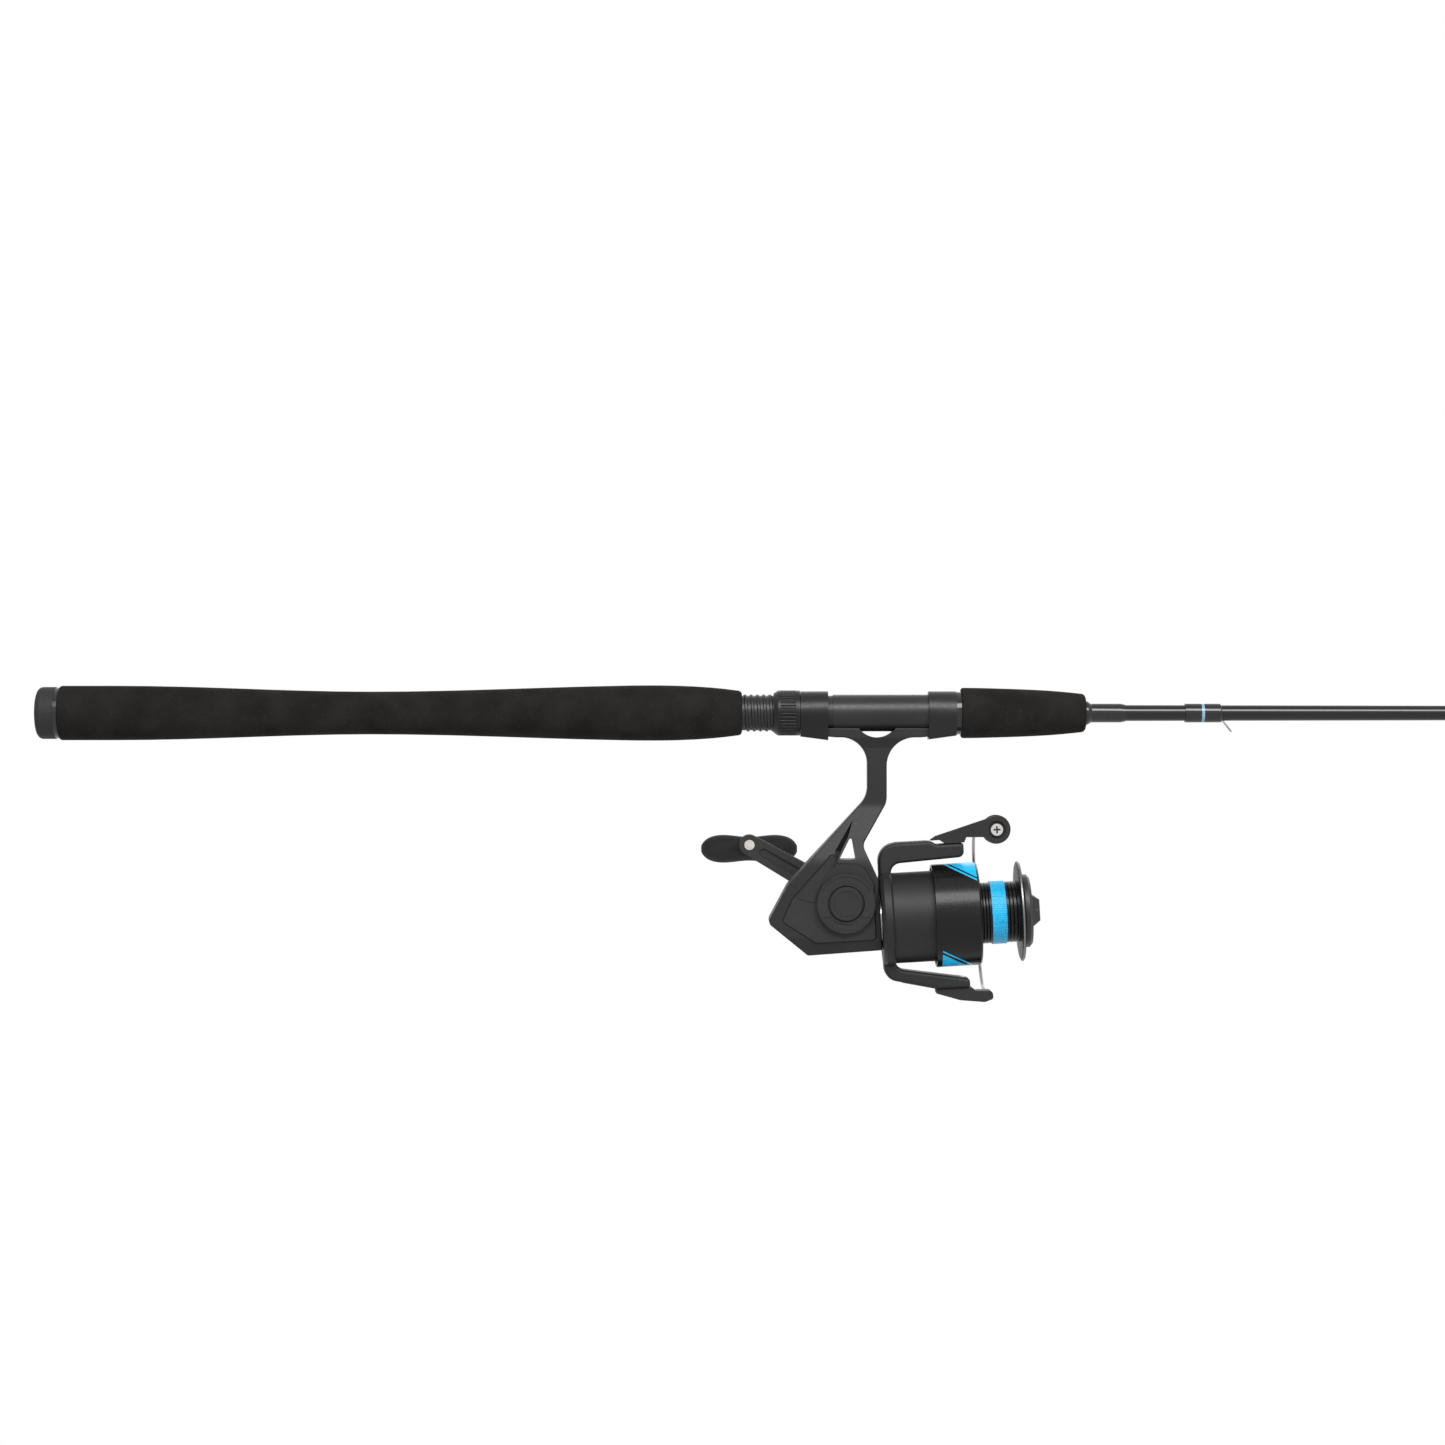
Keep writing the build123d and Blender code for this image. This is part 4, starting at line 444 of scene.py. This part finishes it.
thread = gloss("thread_gloss", 0.006, 0.08, 0.5, coat=0.0)
thread_front = max(vertex.co.x for vertex in nodes["blank_wraps"].data.vertices)
band = between(thread, along_rod(thread), thread_front - band_back, thread_front - band_ahead)
masked(thread, band, (0.003, 0.003, 0.003), (0.16, 0.3, 0.36))
thread_place = thread.node_tree.nodes.new("ShaderNodeTexCoord")
turns = thread.node_tree.nodes.new("ShaderNodeTexWave")
turns.inputs["Scale"].default_value = 900
thread.node_tree.links.new(thread_place.outputs["Object"], turns.inputs["Vector"])
lift(thread, turns.outputs["Fac"], 0.15, 0.00003)
print("band on the thread at", round(thread_front - band_back, 4))

# %% [markdown]
# The seat is one moulding, and the part of it that grips the front of the reel's foot is darker
# than its barrel. The cross recess of the roller's screw has painted shade: it is coloured dark
# where it lies deeper than the head's face. Both are masks on a place, as on the skirt.

# %% Seat and roller screw
front_hood_length = 0.0138
recess_depth = 0.0003
seat_colour = seat_satin.node_tree.nodes["Principled BSDF"].inputs["Base Color"].links[0].from_socket
ring_rear = min(vertex.co.x for vertex in nodes["hood_trim_ring"].data.vertices)
hood_part = reckon(seat_satin, "GREATER_THAN", along_rod(seat_satin), ring_rear - front_hood_length)
masked(seat_satin, hood_part, seat_colour, (0.006, 0.0059, 0.0058))

steel = (0.56, 0.55, 0.53)
bail_screw = metal("bail_screw", steel, 0.28)
face = min(vertex.co.y for vertex in nodes["roller_screw"].data.vertices)
# painted shade: the cross recess, deeper than the head's face, is coloured near-black
recess_painted_shade = reckon(bail_screw, "GREATER_THAN", measure(bail_screw, Vector((0, 1, 0))), face + recess_depth)
masked(bail_screw, recess_painted_shade, steel, (0.03, 0.03, 0.03))
print("screw's face at", round(face, 5))

# %% [markdown]
# ### Who wears what
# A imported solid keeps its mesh, and takes a finish by the material slot of its object.

# %% Dress the solids
wardrobe = [
    (butt_rubber, ["butt_cap"]),
    (ring_gloss, ["butt_trim_ring", "hood_trim_ring", "winding_check", "guide_1_ring",
                  "tip_guide_rings", "tip_top_ring"]),
    (seat_satin, ["reel_seat"]),
    (hood_satin, ["lock_nut", "sliding_hood"]),
    (cork, ["seat_bushings"]),
    (thread, ["blank_wraps"]),
    (wrap_gloss, ["guide_1_wraps", "tip_guide_wraps", "tip_ferrule"]),
    (frame_gloss, ["guide_1_frame", "tip_top"] + [f"guide_{number}_frame" for number in range(2, 7)]),
    (blank_gloss, ["butt_blank", "tip_blank"]),
    (foam, ["rear_grip", "fore_grip"]),
    (wire_steel, ["hook_keeper", "bail_spring", "drag_retainer", "bail_wire"]),
    (housing, ["reel_body"]),
    (cover_satin, ["side_cover", "handle_port_cap"]),
    (rotor_satin, ["rotor", "arm_covers", "bail_lever", "bail_arm"]),
    (screw_steel, ["cover_screws", "bail_pivot_screws"]),
    (bail_screw, ["roller_screw"]),
    (bearing_steel, ["drive_bearings", "pinion_bearing", "one_way_clutch", "clutch_sleeve"]),
    (cast_zinc, ["drive_gear", "oscillation_gear", "oscillation_slider"]),
    (brass, ["pinion_gear", "rotor_nut"]),
    (shaft_steel, ["main_shaft", "crank_shaft"]),
    (pin_steel, ["knob_pin"]),
    (roller_gloss, ["line_roller"]),
    (skirt_paint, ["spool"]),
    (band_blue, ["arbor_band"]),
    (lip_gloss, ["spool_lip"]),
    (felt, ["drag_washers"]),
    (drag_satin, ["drag_knob"]),
    (arm_satin, ["handle_arm"]),
    (knob_rubber, ["handle_knob"]),
]
for material, names in wardrobe:
    for name in names:
        nodes[name].data.materials.clear()
        nodes[name].data.materials.append(material)
print("dressed", sum(len(names) for material, names in wardrobe), "solids")

# %% [markdown]
# ## Turned pieces
# The grips and the blanks are long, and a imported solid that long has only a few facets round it.
# They are turned again from their own outlines: the outline's points come from the solid itself,
# by taking the largest radius at each place along the rod, and `spin` sweeps it a full turn.

# %% A piece turned from a solid's outline
BODY_OF = {name: body for body, names in record["behaviour"]["bodies"].items() for name in names}


def outline_of(name, bore):
    """Points (place along the rod, outer radius) of a round solid, from rear to front."""
    widest = {}
    for vertex in nodes[name].data.vertices:
        place = round(vertex.co.x, 5)
        radius = (vertex.co.y ** 2 + vertex.co.z ** 2) ** 0.5
        if radius > bore:
            widest[place] = max(radius, widest.get(place, 0.0))
    return sorted(widest.items())


def new_piece(name, mesh_maker, material, node):
    """Makes an object from a bmesh, and lets it stand for a solid."""
    mesh = bpy.data.meshes.new(name)
    mesh_maker.to_mesh(mesh)
    mesh_maker.free()
    mesh.shade_smooth()
    mesh.set_sharp_from_angle(angle=radians(35))
    piece = bpy.data.objects.new(name, mesh)
    bpy.context.scene.collection.objects.link(piece)
    mesh.materials.append(material)
    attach(piece, BODY_OF[node])
    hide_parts(node)
    print(name, len(mesh.polygons), "faces")
    return piece


def turned(points, steps):
    """Bmesh of an outline spun a full turn about the rod's axis."""
    shape = bmesh.new()
    line = [shape.verts.new((x, 0, r)) for x, r in points]
    edges = [shape.edges.new(pair) for pair in zip(line, line[1:])]
    bmesh.ops.spin(shape, geom=line + edges, cent=(0, 0, 0), axis=(1, 0, 0), angle=2 * pi,
                   steps=steps, use_merge=True)
    bmesh.ops.remove_doubles(shape, verts=shape.verts, dist=1e-6)
    bmesh.ops.recalc_face_normals(shape, faces=shape.faces)
    return shape


# %% Grips and blanks
def finely(points, step):
    """More points on the long runs of an outline."""
    fine = [points[0]]
    for (x0, r0), (x1, r1) in zip(points, points[1:]):
        count = max(1, int(abs(x1 - x0) / step))
        fine += [(x0 + (x1 - x0) * part / count, r0 + (r1 - r0) * part / count)
                 for part in range(1, count + 1)]
    return fine


grip_bore = 0.0055
grip_lip = 0.001          # how far the end faces reach in past the bore's radius
grip_step = 0.004
grip_steps = 96
blank_edge = 0.0004
blank_steps = 48
for name in ("rear_grip", "fore_grip"):
    points = outline_of(name, grip_bore)
    inner = grip_bore - grip_lip
    outline = [(points[0][0], inner)] + points + [(points[-1][0], inner)]
    grip = new_piece(name + "_foam", turned(finely(outline, grip_step), grip_steps), foam, name)
for name in ("butt_blank", "tip_blank"):
    points = outline_of(name, 0)
    (rear, rear_radius), (front, front_radius) = points[0], points[-1]
    outline = [(rear, rear_radius - blank_edge), (rear, rear_radius), (front, front_radius),
               (front, front_radius - blank_edge)]
    new_piece(name + "_gloss", turned(outline, blank_steps), blank_gloss, name)

# %% [markdown]
# ## Camera and light
# The camera stands 1.7 m from the rod, level with it, and sees the rear third of its length. A
# high lamp in front draws a soft line along every rounded top, a wide dim one fills the shade, one
# behind lights the far side, and a pale world softens them all. For the camera, and in
# reflections, the world is plain white.

# %% Camera
view_x, view_z = 0.34225, -0.00475
camera_distance = 1.7
lens = bpy.data.cameras.new("camera")
lens.sensor_width = 36
lens.lens = 84.7
lens.clip_start = 0.05
camera = bpy.data.objects.new("camera", lens)
camera.location = (view_x, -camera_distance, view_z)
camera.rotation_euler = (radians(90), 0, 0)
bpy.context.scene.collection.objects.link(camera)
bpy.context.scene.camera = camera
print("camera at", tuple(round(c, 4) for c in camera.location))

# %% World
soft_strength, plain_strength = 0.3, 1.0
world = bpy.data.worlds.new("studio")
bpy.context.scene.world = world
world.use_nodes = True
tree = world.node_tree
soft = tree.nodes["Background"]
soft.inputs["Color"].default_value = (1, 1, 1, 1)
soft.inputs["Strength"].default_value = soft_strength
plain = tree.nodes.new("ShaderNodeBackground")
plain.inputs["Color"].default_value = (1, 1, 1, 1)
plain.inputs["Strength"].default_value = plain_strength
path = tree.nodes.new("ShaderNodeLightPath")
camera_or_glossy = tree.nodes.new("ShaderNodeMath")
camera_or_glossy.operation = "MAXIMUM"
seen = tree.nodes.new("ShaderNodeMath")
seen.operation = "MAXIMUM"
choose = tree.nodes.new("ShaderNodeMixShader")
for source, target in [(path.outputs["Is Camera Ray"], camera_or_glossy.inputs[0]),
                       (path.outputs["Is Glossy Ray"], camera_or_glossy.inputs[1]),
                       (camera_or_glossy.outputs[0], seen.inputs[0]),
                       (path.outputs["Is Transmission Ray"], seen.inputs[1]),
                       (seen.outputs[0], choose.inputs["Fac"]),
                       (soft.outputs[0], choose.inputs[1]),
                       (plain.outputs[0], choose.inputs[2]),
                       (choose.outputs[0], tree.nodes["World Output"].inputs["Surface"])]:
    tree.links.new(source, target)
print("world lights at", soft_strength, "and shows at", plain_strength)


# %% Lamps
def soft_lamp(name, place, target, width, depth, power):
    """Area lamp that faces a target."""
    lamp = bpy.data.lights.new(name, "AREA")
    lamp.shape = "RECTANGLE"
    lamp.size, lamp.size_y, lamp.energy = width, depth, power
    holder = bpy.data.objects.new(name, lamp)
    holder.location = place
    holder.rotation_euler = (Vector(target) - Vector(place)).to_track_quat("-Z", "Y").to_euler()
    bpy.context.scene.collection.objects.link(holder)


middle = ((cad_low.x + cad_high.x) / 2, 0, -0.03)
soft_lamp("front_lamp", (middle[0] - 0.3, -2.2, 1.2), middle, 3.2, 2.2, 6)
soft_lamp("high_lamp", (middle[0], -1.45, 1.25), middle, 2.8, 0.8, 72)
soft_lamp("back_lamp", (middle[0], 2.0, 0.9), middle, 2.4, 1.0, 8)

# %% [markdown]
# ## The floor
# A pale floor lies below the reel and throws soft light back up at it. To the camera, and in
# reflections, it is the same plain white as the background, so no shadow shows on it.

# %% Floor
floor_radius, floor_level = 3.2, -0.62
floor_mesh = bmesh.new()
bmesh.ops.create_circle(floor_mesh, cap_ends=True, segments=96, radius=floor_radius)
bmesh.ops.translate(floor_mesh, verts=floor_mesh.verts, vec=(middle[0], 0, floor_level))
mesh = bpy.data.meshes.new("floor")
floor_mesh.to_mesh(mesh)
floor_mesh.free()
floor = bpy.data.objects.new("floor", mesh)
bpy.context.scene.collection.objects.link(floor)
floor_paint = finish("floor_paint", (0.93, 0.93, 0.93), 0.9, 0.1)
mesh.materials.append(floor_paint)
tree = floor_paint.node_tree
glow = tree.nodes.new("ShaderNodeEmission")
path = tree.nodes.new("ShaderNodeLightPath")
either = tree.nodes.new("ShaderNodeMath")
either.operation = "MAXIMUM"
blend = tree.nodes.new("ShaderNodeMixShader")
for source, target in [(path.outputs["Is Camera Ray"], either.inputs[0]),
                       (path.outputs["Is Glossy Ray"], either.inputs[1]),
                       (either.outputs[0], blend.inputs["Fac"]),
                       (tree.nodes["Principled BSDF"].outputs[0], blend.inputs[1]),
                       (glow.outputs[0], blend.inputs[2]),
                       (blend.outputs[0], tree.nodes["Material Output"].inputs["Surface"])]:
    tree.links.new(source, target)
print("floor at", floor_level)

# %% [markdown]
# ## Finish
# The last cell sets the view transform to Standard.

# %% Colour
scene = bpy.context.scene
scene.view_settings.view_transform = "Standard"
